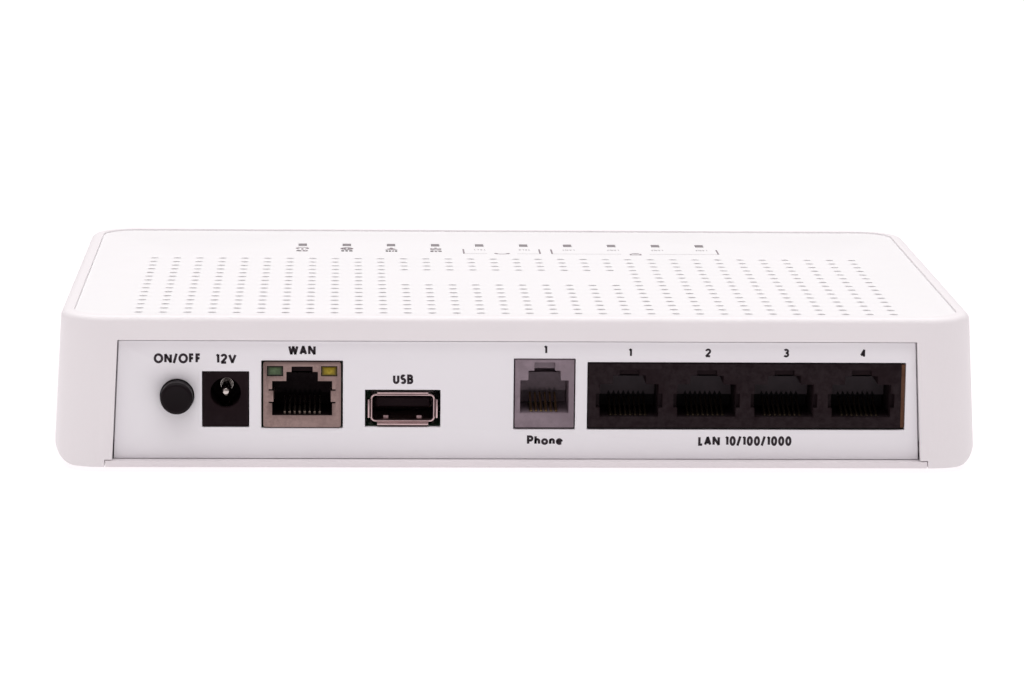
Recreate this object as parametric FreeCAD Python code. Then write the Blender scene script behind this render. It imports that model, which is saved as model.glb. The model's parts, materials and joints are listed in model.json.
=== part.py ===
"""Home internet gateway: a low white plastic box with its sockets along the rear.

Millimetres. +Z is up, the sockets face -Y and the indicator lights are along +Y.
The origin is under the middle of the whole object, on the surface that it stands on.
"""
import FreeCAD
import Part
import math
import os

V = FreeCAD.Vector

# ---- case ----
CASE_LENGTH = 190.0
CASE_DEPTH = 122.6
CASE_Y = 0.85              # the button stands out at the rear, so the case sits forward
CASE_BOTTOM = 1.0          # the feet lift the case by this much
RIM_TOP = 31.9
DRAFT = math.tan(math.radians(3.0))
CORNER_R = 10.0
TOP_EDGE_R = 1.5
BOTTOM_EDGE_R = 4.6
WALL = 2.0
FLOOR_TOP = 2.8            # inside of the narrow floor that the housing carries
CASE_REAR = CASE_Y - CASE_DEPTH / 2
CASE_FRONT = CASE_Y + CASE_DEPTH / 2
GAP = 0.2                  # moulding clearance between fixed pieces

# ---- vent plate in the top ----
PLATE_TOP = 31.6
PLATE_THICK = 1.5
PLATE_HALF_X = 90.6
PLATE_HALF_Y = 56.95
PLATE_R = 7.2
LEDGE_THICK = 1.5
LEDGE_WIDTH = 2.2
HOLE_PITCH = 5.0
HOLE_R = 0.85
HOLE_COLUMNS = 32
HOLE_ROWS = 15
FIRST_ROW_Y = -51.9
BLANK_COLUMNS = range(11, 21)
BLANK_ROWS = range(8, 11)
LIGHT_COUNT = 10
LIGHT_PITCH = 10.0
LIGHT_Y = 37.35
LIGHT_SIZE = (1.7, 3.4)

# ---- base plate ----
BASE_HALF_X = 84.0
BASE_TOP = 2.3
BASE_FRONT = 53.5
SCREW_X = 79.5
CASE_SCREW_Y = (-30.0, 40.0)
CUP_TOP = 4.4
SCREW_R = 1.45
SCREW_HOLE_R = 1.5
BOARD_SCREWS = ((-79.5, -51.0), (-8.2, -47.0), (79.5, -38.5), (-60.0, 46.0), (60.0, 46.0))
FOOT_R = 5.0
FOOT_SPOTS = ((-70.0, -50.0), (70.0, -50.0), (-70.0, 45.0), (70.0, 45.0))

# ---- main board ----
BOARD_TOP = 9.0
BOARD_THICK = 1.6
BOARD_UNDER = BOARD_TOP - BOARD_THICK
BOARD_HALF_X = 84.0
BOARD_REAR = -55.5
BOARD_FRONT = 52.0

# ---- socket panel ----
PANEL_FACE = -58.35
PANEL_THICK = 1.45
PANEL_BOTTOM = 2.45
RIM_BOTTOM = 6.0           # the panel's rear rim stops above the rounded inside corner
WINDOW_TOP = 27.0
WINDOW_HALF_TOP = 81.45
WINDOW_HALF_BOTTOM = 82.65
PANEL_GAP = 0.25
JACK_FACE = PANEL_FACE - 0.15

# ---- sockets: middle X of each, then its own sizes ----
BUTTON_X = -69.45
BUTTON_Z = 15.4
BUTTON_R = 3.3
BUTTON_TRAVEL = 2.5
BUTTON_OUT = 3.6           # how far the cap stands out of the panel
CAP_LENGTH = 9.4
POWER_X = -59.6
POWER_Z = 16.0
POWER_BORE_R = 3.1
POWER_PIN_R = 1.0
POWER_BORE_DEPTH = 9.6
WAN_X = -44.05
USB_X = -23.55
USB_Z = 12.85
PHONE_X = 5.35
LAN_X = 46.5
LAN_PITCH = 15.875
LAN_BLOCK = (14.3, 78.5)
CONTACT_PITCH = 1.02

# Each modular jack: floor height, cavity width and height, then the two steps of its latch slot.
WAN_CAVITY = (11.45, 12.2, 7.1, 6.4, 1.9, 4.3, 1.1)
LAN_CAVITY = (11.3, 12.0, 6.75, 6.7, 1.8, 4.0, 1.1)
PHONE_CAVITY = (12.05, 9.9, 6.75, 6.6, 2.0, 4.2, 1.7)
CAVITY_DEPTH = 10.0
SHEET = 0.3                # thickness of the sockets' metal
LAN_REAR = JACK_FACE + 16.0
PHONE_REAR = JACK_FACE + 15.0
PHONE_HALF = 6.05
PHONE_TOP = 23.1
LAN_TOP = 22.35
WAN_REAR = JACK_FACE + 16.0
WAN_HALF = 7.9
WAN_TOP = 22.5
WAN_LAMP = (5.5, 20.6, 3.3, 2.1)     # middle from the jack's middle, height, width, height
WAN_SPRING_Z = (14.1, 16.7)          # ground springs at the cavity's sides
WIRE_LIFT_WAN = 0.35                 # how far a wire's front bend stands above the cavity floor
WIRE_LIFT = -0.15
USB_HALF_X = 6.55
USB_HALF_Z = 2.85
USB_REAR = PANEL_FACE + 14.0
POWER_FACE = PANEL_FACE + 0.3

# push switch
CAP_FRONT = PANEL_FACE - BUTTON_OUT
CAP_REAR = CAP_FRONT + CAP_LENGTH
SWITCH_FRONT = CAP_REAR + BUTTON_TRAVEL + 0.5
SWITCH_REAR = SWITCH_FRONT + 13.0
SWITCH_HALF = 4.2
PLUNGER_HALF = 1.5

# chips that carry leads: middle, then size
SWITCH_CHIP = (46.0, -11.0, (18.0, 18.0, 1.5))
FLASH_CHIP = (6.0, 22.0, (12.0, 18.4, 1.2))
PHONE_CHIP = (10.0, -27.0, (9.0, 9.0, 1.2))

# ---- reset switch, under the board ----
RESET_X = -30.0
RESET_Y = 30.0
RESET_TRAVEL = 0.25


def box(x, y, z):
    """A box from three (low, high) pairs."""
    return Part.makeBox(x[1] - x[0], y[1] - y[0], z[1] - z[0], V(x[0], y[0], z[0]))


def block(x, y, z_low, size):
    """A box stood on z_low with its middle at x, y."""
    return Part.makeBox(size[0], size[1], size[2], V(x - size[0] / 2, y - size[1] / 2, z_low))


def post(radius, x, y, z):
    """An upright cylinder over the (low, high) pair z."""
    return Part.makeCylinder(radius, z[1] - z[0], V(x, y, z[0]))


def rod_y(radius, x, z, y):
    """A cylinder along Y over the (low, high) pair y."""
    return Part.makeCylinder(radius, y[1] - y[0], V(x, y[0], z), V(0, 1, 0))


def join(shapes):
    first, rest = shapes[0], shapes[1:]
    return first.fuse(rest).removeSplitter() if rest else first


def group(shapes):
    """Separate solids that share one node."""
    return Part.makeCompound(shapes)


def face_of(points):
    return Part.Face(Part.makePolygon(points + [points[0]]))


def side_profile(points, x, width):
    """Extrude an outline of (y, z) points along X, centred on x."""
    outline = face_of([V(x - width / 2, y, z) for y, z in points])
    return outline.extrude(V(width, 0, 0))


def front_profile(points, y):
    """Extrude an outline of (x, z) points along Y over the (low, high) pair y."""
    outline = face_of([V(x, y[0], z) for x, z in points])
    return outline.extrude(V(0, y[1] - y[0], 0))


def bent_strip(points, x, width, thick):
    """A flat spring bent through (y, z) points, of one thickness all along."""
    pieces = []
    for (y0, z0), (y1, z1) in zip(points, points[1:]):
        length = math.hypot(y1 - y0, z1 - z0)
        ny, nz = -(z1 - z0) / length * thick / 2, (y1 - y0) / length * thick / 2
        corners = [(y0 + ny, z0 + nz), (y1 + ny, z1 + nz), (y1 - ny, z1 - nz), (y0 - ny, z0 - nz)]
        pieces.append(side_profile(corners, x, width))
    for y, z in points[1:-1]:
        bend = Part.makeCylinder(thick / 2, width, V(x - width / 2, y, z), V(1, 0, 0))
        pieces.append(bend)
    return join(pieces)


def upright_edges(shape):
    return [e for e in shape.Edges if e.BoundBox.ZLength > 0.8 * shape.BoundBox.ZLength]


def edges_at(shape, z):
    return [e for e in shape.Edges if abs(e.BoundBox.ZMin - z) < 0.01 and e.BoundBox.ZLength < 0.01]


def rounded_block(half_x, y, z, radius):
    """An upright block, centred on X = 0, with its four upright edges rounded."""
    solid = box((-half_x, half_x), y, z)
    return solid.makeFillet(radius, upright_edges(solid))


def tapered_block(half_x, rear, front, z, radius):
    """A block that narrows upwards by the draft angle, with rounded corners."""
    inset = DRAFT * (z[1] - z[0])
    loops = []
    for height, shrink in ((z[0], 0.0), (z[1], inset)):
        x, y0, y1 = half_x - shrink, rear + shrink, front - shrink
        corners = [V(-x, y0, height), V(x, y0, height), V(x, y1, height), V(-x, y1, height)]
        loops.append(Part.makePolygon(corners + [corners[0]]))
    solid = Part.makeLoft(loops, True, True)
    return solid.makeFillet(radius, upright_edges(solid))


def half_x_at(z):
    """Half the length of the case at height z."""
    return CASE_LENGTH / 2 - DRAFT * (z - CASE_BOTTOM)


def sharp_case():
    """The case before any edge but its corners is rounded."""
    return tapered_block(CASE_LENGTH / 2, CASE_REAR, CASE_FRONT, (CASE_BOTTOM, RIM_TOP), CORNER_R)


def case_outside():
    """The lower edge is rounded at the front and sides, and runs out square at the rear."""
    longer = tapered_block(CASE_LENGTH / 2, CASE_REAR - 25, CASE_FRONT, (CASE_BOTTOM, RIM_TOP), CORNER_R)
    longer = longer.makeFillet(BOTTOM_EDGE_R, edges_at(longer, CASE_BOTTOM))
    solid = sharp_case().common(longer)
    return solid.makeFillet(TOP_EDGE_R, edges_at(solid, RIM_TOP))


def plate_block(grow, z):
    """The outline of the vent plate, made larger by grow."""
    y = (CASE_Y - PLATE_HALF_Y - grow, CASE_Y + PLATE_HALF_Y + grow)
    return rounded_block(PLATE_HALF_X + grow, y, z, PLATE_R + grow)


def window_outline(grow, bottom):
    """The rear window as (x, z) points, made larger by grow at its sides and top."""
    return [
        (-WINDOW_HALF_BOTTOM - grow, bottom),
        (WINDOW_HALF_BOTTOM + grow, bottom),
        (WINDOW_HALF_TOP + grow, WINDOW_TOP + grow),
        (-WINDOW_HALF_TOP - grow, WINDOW_TOP + grow),
    ]


def base_outline(grow, z):
    """The base plate's outline: square at the rear, rounded at the front."""
    x = BASE_HALF_X + grow
    solid = box((-x, x), (CASE_REAR - 5, BASE_FRONT + grow), z)
    front = [e for e in upright_edges(solid) if e.BoundBox.YMin > 0]
    return solid.makeFillet(8.0 + grow, front)


def case_screw_spots():
    return [(side * SCREW_X, y) for side in (-1, 1) for y in CASE_SCREW_Y]


def upper_housing():
    ledge_bottom = PLATE_TOP - PLATE_THICK - LEDGE_THICK
    inside = tapered_block(
        half_x_at(FLOOR_TOP) - WALL, CASE_REAR + WALL, CASE_FRONT - WALL, (FLOOR_TOP, ledge_bottom), 8.0)
    inside = inside.makeFillet(2.8, edges_at(inside, FLOOR_TOP))
    behind_rear_wall = box((-CASE_LENGTH, CASE_LENGTH), (CASE_REAR + WALL, CASE_FRONT), (0, RIM_TOP))
    shell = case_outside().cut([
        inside,
        plate_block(0.15, (PLATE_TOP - PLATE_THICK, RIM_TOP + 1)),
        plate_block(-LEDGE_WIDTH, (ledge_bottom - 1, RIM_TOP)),
        base_outline(GAP, (CASE_BOTTOM - 1, BASE_TOP + GAP)),
        base_outline(GAP, (CASE_BOTTOM, FLOOR_TOP + 1)).common(behind_rear_wall),
        front_profile(window_outline(0, BASE_TOP), (CASE_REAR - 2, CASE_REAR + 5)),
    ])
    additions = []
    holes = []
    for x, y in case_screw_spots():
        side = math.copysign(1, x)
        reach = sorted((x, side * (half_x_at(CASE_BOTTOM) - WALL - 0.6)))
        additions.append(post(3.5, x, y, (CUP_TOP, 22.0)))
        additions.append(box(reach, (y - 0.8, y + 0.8), (CUP_TOP, 22.0)))
        holes.append(post(SCREW_HOLE_R, x, y, (CUP_TOP - 1, 16.0)))
    return shell.fuse(additions).cut(holes).removeSplitter()


def vent_holes():
    first_x = -HOLE_PITCH * (HOLE_COLUMNS - 1) / 2
    holes = []
    for column in range(HOLE_COLUMNS):
        for row in range(HOLE_ROWS):
            if column in BLANK_COLUMNS and row in BLANK_ROWS:
                continue
            x = first_x + HOLE_PITCH * column
            y = FIRST_ROW_Y + HOLE_PITCH * row
            holes.append(post(HOLE_R, x, y, (PLATE_TOP - PLATE_THICK - 1, PLATE_TOP + 1)))
    return holes


def light_spots():
    first_x = -LIGHT_PITCH * (LIGHT_COUNT - 1) / 2
    return [first_x + LIGHT_PITCH * n for n in range(LIGHT_COUNT)]


def top_vent_plate():
    z = (PLATE_TOP - PLATE_THICK, PLATE_TOP)
    windows = [
        block(x, LIGHT_Y, z[0] - 1, (LIGHT_SIZE[0] + GAP, LIGHT_SIZE[1] + GAP, PLATE_THICK + 2))
        for x in light_spots()
    ]
    return plate_block(0, z).cut(vent_holes() + windows)


def base_plate():
    z = (CASE_BOTTOM, BASE_TOP)
    plate = base_outline(0, z).common(sharp_case())
    panel_stop = PANEL_FACE + PANEL_THICK + 0.05
    additions = [box((-80, 80), (panel_stop, panel_stop + 1.2), (CASE_BOTTOM, 5.8))]
    cuts = []
    for x, y in case_screw_spots():
        additions.append(post(4.25, x, y, (CASE_BOTTOM, CUP_TOP)))
        cuts.append(post(3.1, x, y, (0, CUP_TOP - 1)))
        cuts.append(post(1.7, x, y, (0, CUP_TOP + 1)))
    for x, y in BOARD_SCREWS:
        additions.append(post(3.2, x, y, (CASE_BOTTOM, BOARD_UNDER)))
        cuts.append(post(SCREW_HOLE_R, x, y, (BASE_TOP, BOARD_UNDER + 1)))
    for y in (-38.0, 2.0, 34.0):
        additions.append(box((-73, 73), (y - 0.6, y + 0.6), (CASE_BOTTOM, 4.6)))
    for group_x in (-45.0, 45.0):
        for n in range(9):
            x = group_x + 6.0 * (n - 4)
            cuts.append(box((x - 1.1, x + 1.1), (-26.0, -8.0), (0, 3.0)))
    cuts.append(post(1.3, RESET_X, RESET_Y, (0, 3.0)))
    return plate.fuse(additions).cut(cuts).removeSplitter()


def rubber_feet():
    feet = []
    for x, y in FOOT_SPOTS:
        foot = post(FOOT_R, x, y, (0, CASE_BOTTOM))
        feet.append(foot.makeFillet(0.3, edges_at(foot, 0)))
    return group(feet)


def pan_screw(x, y, seat, tip, up):
    """A pan-head screw whose head seats at one height and whose shank ends at tip."""
    low, high = min(seat, tip), max(seat, tip)
    shank = post(SCREW_R, x, y, (low, high))
    head_z = (seat, seat + 1.8) if up else (seat - 1.8, seat)
    head = post(2.7, x, y, head_z)
    head = head.makeFillet(0.8, edges_at(head, head_z[1] if up else head_z[0]))
    outer = head_z[1] if up else head_z[0]
    slots = []
    for size in ((3.0, 0.6, 1.8), (0.6, 3.0, 1.8)):
        slots.append(block(x, y, outer - 0.9, size))
    return shank.fuse(head).cut(slots).removeSplitter()


def case_screws():
    return group([pan_screw(x, y, CUP_TOP - 1, 13.5, False) for x, y in case_screw_spots()])


def board_screws():
    return group([pan_screw(x, y, BOARD_TOP, 3.2, True) for x, y in BOARD_SCREWS])


def light_pipes():
    spots = light_spots()
    pieces = [box((-52.0, 52.0), (LIGHT_Y - 1.5, LIGHT_Y + 1.5), (23.0, 25.0))]
    for x in spots:
        pieces.append(block(x, LIGHT_Y, 10.6, (LIGHT_SIZE[0], LIGHT_SIZE[1], PLATE_TOP - 10.6)))
    for x in (-50.5, 50.5):
        pieces.append(block(x, LIGHT_Y, BOARD_TOP, (3.0, 3.0, 16.0)))
    return join(pieces)


def rating_label():
    return box((-30, 30), (2.0, 37.0), (CASE_BOTTOM - 0.1, CASE_BOTTOM)).cut(
        post(2.5, RESET_X, RESET_Y, (0, 2)))


def main_board():
    board = box((-BOARD_HALF_X, BOARD_HALF_X), (BOARD_REAR, BOARD_FRONT), (BOARD_UNDER, BOARD_TOP))
    cuts = []
    for x, y in case_screw_spots():
        outward = sorted((x - math.copysign(4.6, x), math.copysign(BOARD_HALF_X + 1, x)))
        cuts.append(box(outward, (y - 4.6, y + 4.6), (BOARD_UNDER - 1, BOARD_TOP + 1)))
    for x, y in BOARD_SCREWS:
        cuts.append(post(1.6, x, y, (BOARD_UNDER - 1, BOARD_TOP + 1)))
    for x, y in switch_terminal_spots():
        cuts.append(post(0.6, x, y, (BOARD_UNDER - 1, BOARD_TOP + 1)))
    return board.cut(cuts)


def leads(x, y, half, count, pitch, sides):
    """Gull-wing leads along the sides of a chip whose body reaches half (x, y) from its middle."""
    made = []
    for n in range(count):
        along = pitch * (n - (count - 1) / 2)
        for sign in (-1, 1):
            foot = BOARD_TOP, BOARD_TOP + 0.15
            if "x" in sides:
                out = sorted((x + sign * half[0], x + sign * (half[0] + 1.2)))
                made.append(box(out, (y + along - 0.15, y + along + 0.15), foot))
            if "y" in sides:
                out = sorted((y + sign * half[1], y + sign * (half[1] + 1.2)))
                made.append(box((x + along - 0.15, x + along + 0.15), out, foot))
    return made


def chip(spec):
    x, y, size = spec
    body = block(x, y, BOARD_TOP, size)
    return body.cut(post(0.6, x - size[0] / 2 + 1.5, y - size[1] / 2 + 1.5, (BOARD_TOP + size[2] - 0.1, 20)))


def chip_leads():
    made = leads(SWITCH_CHIP[0], SWITCH_CHIP[1], (9.0, 9.0), 16, 1.0, "xy")
    made += leads(FLASH_CHIP[0], FLASH_CHIP[1], (6.0, 9.2), 16, 1.0, "x")
    made += leads(PHONE_CHIP[0], PHONE_CHIP[1], (4.5, 4.5), 8, 0.9, "xy")
    return group(made)


def heat_sink():
    x, y, base = 0.0, -5.0, BOARD_TOP + 1.6
    sink = [block(x, y, base, (30.0, 30.0, 2.0))]
    for row in range(7):
        for column in range(7):
            fin_x = x + 4.4 * (column - 3)
            fin_y = y + 4.4 * (row - 3)
            sink.append(block(fin_x, fin_y, base + 2.0, (1.8, 1.8, 7.0)))
    return join(sink)


def radio_shield():
    """A pressed steel lid over the radio circuit, open underneath."""
    outer = block(50.0, 20.0, BOARD_TOP, (38.0, 26.0, 3.2))
    outer = outer.makeFillet(0.8, upright_edges(outer) + edges_at(outer, BOARD_TOP + 3.2))
    inner = block(50.0, 20.0, BOARD_TOP - 1, (37.5, 25.5, 3.95))
    return outer.cut(inner)


def jack_transformers():
    spots = ((-44.0, -33.0, 15.0), (28.5, -33.5, 24.0), (58.0, -33.5, 24.0))
    made = []
    for x, y, width in spots:
        body = block(x, y, BOARD_TOP, (width, 11.0, 5.8))
        made.append(body.makeFillet(0.4, edges_at(body, BOARD_TOP + 5.8)))
    return group(made)


def supply_capacitors():
    cans = ((-62.0, -32.0, 4.0, 11.5), (-57.0, -22.0, 4.0, 11.5), (-70.0, -20.0, 5.0, 12.5),
            (-6.0, -28.0, 3.15, 9.0), (-14.5, -28.0, 3.15, 9.0), (-25.0, -30.0, 3.15, 9.0))
    made = []
    for x, y, radius, height in cans:
        can = post(radius, x, y, (BOARD_TOP, BOARD_TOP + height))
        made.append(can.makeFillet(0.5, edges_at(can, BOARD_TOP + height)))
    return group(made)


def power_inductors():
    made = []
    for x, y in ((-70.0, -6.0), (-58.0, -6.0), (-46.0, -6.0), (-16.0, -38.0)):
        body = block(x, y, BOARD_TOP, (8.0, 8.0, 4.2))
        made.append(body.makeFillet(1.2, upright_edges(body)))
    return group(made)


def clock_crystals():
    made = []
    for x, y in ((29.0, 2.0), (-22.0, 24.0), (24.0, 30.0)):
        can = block(x, y, BOARD_TOP, (11.0, 4.6, 3.6))
        made.append(can.makeFillet(1.8, upright_edges(can)))
    return group(made)


def power_regulators():
    spots = ((-70.0, 8.0), (-58.0, 8.0), (-46.0, 8.0), (-39.5, 20.5))
    return group([block(x, y, BOARD_TOP, (6.5, 5.6, 1.6)) for x, y in spots])


def small_parts():
    """Rows of small resistors and capacitors."""
    rows = ((-70.0, 16.0, 12), (-70.0, 22.0, 9), (30.0, -24.5, 12), (-20.0, 14.0, 5), (14.0, 4.0, 4),
            (26.0, 9.0, 2), (-8.0, 34.0, 12))
    made = []
    for x, y, count in rows:
        for n in range(count):
            made.append(block(x + 2.6 * n, y, BOARD_TOP, (1.0, 1.8, 0.6)))
    return group(made)


def status_lights():
    return group([block(x, LIGHT_Y, BOARD_TOP, (1.3, 2.0, 0.8)) for x in light_spots()])


def antenna(side):
    """A folded sheet aerial that stands on the board on two legs."""
    near, far = side * 12.0, side * 44.0
    x = sorted((near, far))
    pieces = [
        box(x, (44.6, 45.0), (13.0, 18.0)),
        box(x, (44.6, 49.6), (17.6, 18.0)),
        block(near + side * 1.0, 44.8, BOARD_TOP, (2.0, 0.4, 5.0)),
        block(near + side * 7.0, 44.8, BOARD_TOP, (2.0, 0.4, 5.0)),
        block(near + side * 30.0, 44.8, BOARD_TOP, (2.0, 0.4, 5.0)),
    ]
    return join(pieces)


def jack_cavity(x, cavity, y, step_end):
    """The space that a modular plug enters: a wide cavity with a stepped latch slot above.

    The narrow top step, where the latch is pressed, ends at step_end.
    """
    floor, width, height, slot_w, slot_h, top_w, top_h = cavity
    top = floor + height
    return join([
        box((x - width / 2, x + width / 2), y, (floor, top)),
        box((x - slot_w / 2, x + slot_w / 2), y, (top - 0.1, top + slot_h)),
        box((x - top_w / 2, x + top_w / 2), (y[0], step_end), (top + slot_h - 0.1, top + slot_h + top_h)),
    ])


def contact_slots(x, floor, count, y):
    slots = []
    for n in range(count):
        middle = x + CONTACT_PITCH * (n - (count - 1) / 2)
        slots.append(box((middle - 0.29, middle + 0.29), y, (floor - 0.9, floor + 0.1)))
    return slots


def jack_contacts(x, floor, count, front, lift=WIRE_LIFT):
    """Spring wires that lie in the floor, turn up at the front and slope back to the comb."""
    groove = floor - 0.72
    path = [(front + 11.5, groove), (front, groove), (front, floor + lift), (front + 7.2, floor + 2.35)]
    wires = []
    for n in range(count):
        middle = x + CONTACT_PITCH * (n - (count - 1) / 2)
        wires.append(bent_strip(path, middle, 0.4, 0.3))
    return wires


def comb_insert(x, cavity, count, rear):
    """Closes the back of a jack and parts the wires with a toothed lower edge."""
    floor, width, height, slot_w, slot_h = cavity[:5]
    front = JACK_FACE + CAVITY_DEPTH
    teeth_z = floor + 2.85
    half = width / 2 - 0.1
    top = floor + height - 0.1
    body = box((x - half, x + half), (front + 2.2, rear), (floor, top))
    shelf = box((x - half, x + half), (front, front + 2.3), (teeth_z, top))
    plug = box((x - slot_w / 2 + 0.1, x + slot_w / 2 - 0.1), (front + 2.2, rear), (top - 1, top + slot_h))
    notches = []
    for n in range(count):
        middle = x + CONTACT_PITCH * (n - (count - 1) / 2)
        points = [(middle - 0.42, teeth_z - 0.1), (middle + 0.42, teeth_z - 0.1), (middle, teeth_z + 0.8)]
        notches.append(front_profile(points, (front - 1, front + 2.2)))
    return body.fuse([shelf, plug]).cut(notches).removeSplitter()


def lan_spots():
    return [LAN_X + LAN_PITCH * (n - 1.5) for n in range(4)]


def lan_jack_body():
    body = box(LAN_BLOCK, (JACK_FACE, LAN_REAR), (BOARD_TOP, LAN_TOP))
    cuts = []
    floor = LAN_CAVITY[0]
    for x in lan_spots():
        cuts.append(jack_cavity(x, LAN_CAVITY, (JACK_FACE - 1, LAN_REAR + 1), JACK_FACE + 1.4))
        cuts.append(box((x - 6.8, x + 6.8), (JACK_FACE - 1, JACK_FACE + 2.0), (floor + 1.9, floor + 4.8)))
        cuts += contact_slots(x, floor, 8, (JACK_FACE + 1.5, LAN_REAR + 1))
    return body.cut(cuts).removeSplitter()


def lan_jack_combs():
    return group([comb_insert(x, LAN_CAVITY, 8, LAN_REAR) for x in lan_spots()])


def lan_jack_contacts():
    wires = []
    for x in lan_spots():
        wires += jack_contacts(x, LAN_CAVITY[0], 8, JACK_FACE + 2.8)
    return group(wires)


def lan_ground_strip():
    """A folded metal strip that fills the gap between the network jacks and the panel's edge."""
    side = LAN_BLOCK[1] + 0.05
    front = PANEL_FACE + 0.6
    z = (BOARD_TOP, LAN_TOP - 0.2)
    face = box((side, side + 0.78), (front, front + 0.25), z)
    leg = box((side, side + 0.25), (front, front + 9.0), z)
    return join([face, leg])


def wan_lamp_box(side, grow, y):
    offset, z, width, height = WAN_LAMP
    x = WAN_X + side * offset
    half_w = width / 2 + grow
    half_h = height / 2 + grow
    return box((x - half_w, x + half_w), y, (z - half_h, z + half_h))


def ground_spring(side):
    """A tongue folded in from the can's front, which rubs on the side of the plug."""
    edge = WAN_X + side * WAN_CAVITY[1] / 2
    low, high = WAN_SPRING_Z[0] + 0.15, WAN_SPRING_Z[1] - 0.15
    plan = [
        (0.1, 0), (-0.25, 0), (-0.45, 4.0), (-0.25, 4.0), (-0.03, SHEET), (0.1, SHEET),
    ]
    outline = face_of([V(edge + side * x, JACK_FACE + y, low) for x, y in plan])
    return outline.extrude(V(0, 0, high - low))


def wan_jack_shield():
    """A folded tin can round the jack, open at the back and underneath."""
    outer = box((WAN_X - WAN_HALF, WAN_X + WAN_HALF), (JACK_FACE, WAN_REAR), (BOARD_TOP, WAN_TOP))
    outer = outer.makeFillet(0.5, [e for e in outer.Edges if e.BoundBox.YLength > 15])
    inner = box(
        (WAN_X - WAN_HALF + SHEET, WAN_X + WAN_HALF - SHEET), (JACK_FACE + SHEET, WAN_REAR + 1),
        (BOARD_TOP + SHEET, WAN_TOP - SHEET))
    through = (JACK_FACE - 1, JACK_FACE + 1)
    cuts = [inner, jack_cavity(WAN_X, WAN_CAVITY, through, through[1])]
    for side in (-1, 1):
        cuts.append(wan_lamp_box(side, 0, through))
        edge = WAN_X + side * WAN_CAVITY[1] / 2
        for z in WAN_SPRING_Z:
            cuts.append(box(sorted((edge - side, edge + side * 0.7)), through, (z - 0.15, z + 0.15)))
    return outer.cut(cuts).fuse([ground_spring(side) for side in (-1, 1)])


def wan_jack_body():
    half = WAN_HALF - SHEET - 0.1
    body = box(
        (WAN_X - half, WAN_X + half), (JACK_FACE + SHEET + 0.05, WAN_REAR),
        (BOARD_TOP + 0.4, WAN_TOP - 0.4))
    cuts = [jack_cavity(WAN_X, WAN_CAVITY, (JACK_FACE - 1, WAN_REAR + 1), JACK_FACE + 1.2)]
    cuts += contact_slots(WAN_X, WAN_CAVITY[0], 8, (JACK_FACE + 1.2, WAN_REAR + 1))
    for side in (-1, 1):
        cuts.append(wan_lamp_box(side, 0.1, (JACK_FACE - 1, JACK_FACE + 6.2)))
    return body.cut(cuts).removeSplitter()


def wan_lamp(side):
    return wan_lamp_box(side, -0.1, (JACK_FACE + 0.1, JACK_FACE + 6.0))


def phone_jack_body():
    body = box((PHONE_X - PHONE_HALF, PHONE_X + PHONE_HALF), (JACK_FACE, PHONE_REAR), (BOARD_TOP, PHONE_TOP))
    cuts = [jack_cavity(PHONE_X, PHONE_CAVITY, (JACK_FACE - 1, PHONE_REAR + 1), JACK_FACE + 3.0)]
    cuts += contact_slots(PHONE_X, PHONE_CAVITY[0], 6, (JACK_FACE + 1.5, PHONE_REAR + 1))
    return body.cut(cuts).removeSplitter()


def power_jack_body():
    rear = POWER_FACE + 13.6
    body = box((POWER_X - 4.65, POWER_X + 4.65), (POWER_FACE, rear), (BOARD_TOP, 20.35))
    bore = rod_y(POWER_BORE_R, POWER_X, POWER_Z, (POWER_FACE - 1, POWER_FACE + POWER_BORE_DEPTH))
    pin_hole = rod_y(1.35, POWER_X, POWER_Z, (POWER_FACE, rear + 1))
    leaf_slot = box(
        (POWER_X - 1.3, POWER_X + 1.3), (POWER_FACE + 1.6, POWER_FACE + POWER_BORE_DEPTH),
        (POWER_Z - 4.2, POWER_Z))
    return body.cut([bore, pin_hole, leaf_slot]).removeSplitter()


def power_jack_pin():
    """The pin and the collar that it is pressed into at the bottom of the bore."""
    tip = POWER_FACE + 1.0
    rear = POWER_FACE + 13.0
    shaft = rod_y(POWER_PIN_R, POWER_X, POWER_Z, (tip, rear))
    shaft = shaft.makeFillet(0.9, [e for e in shaft.Edges if e.BoundBox.YMax < tip + 0.01])
    collar = rod_y(1.3, POWER_X, POWER_Z, (POWER_FACE + POWER_BORE_DEPTH, rear))
    return join([shaft, collar])


def power_jack_spring():
    """The leaf that presses on the plug's barrel from below."""
    path = [
        (POWER_FACE + 2.0, POWER_Z - 3.6),
        (POWER_FACE + 4.6, POWER_Z - 2.75),
        (POWER_FACE + 9.4, POWER_Z - 3.7),
    ]
    return bent_strip(path, POWER_X, 2.0, 0.3)


def rounded_tube_block(half_x, half_z, y, radius):
    solid = box((USB_X - half_x, USB_X + half_x), y, (USB_Z - half_z, USB_Z + half_z))
    return solid.makeFillet(radius, [e for e in solid.Edges if e.BoundBox.YLength > 0.9 * (y[1] - y[0])])


def flared_lip(turn):
    """One lip of the shell's mouth, bent outward, turned about the shell's middle."""
    across = 5.2 if turn % 180 == 0 else 1.9
    reach = USB_HALF_Z if turn % 180 == 0 else USB_HALF_X
    root = USB_Z + reach
    front = PANEL_FACE - 0.1
    points = [(front + 1.3, root - SHEET), (front, root + 0.25), (front, root + 0.55), (front + 1.3, root)]
    lip = side_profile(points, USB_X, 2 * across)
    lip.rotate(V(USB_X, 0, USB_Z), V(0, 1, 0), turn)
    return lip


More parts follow.
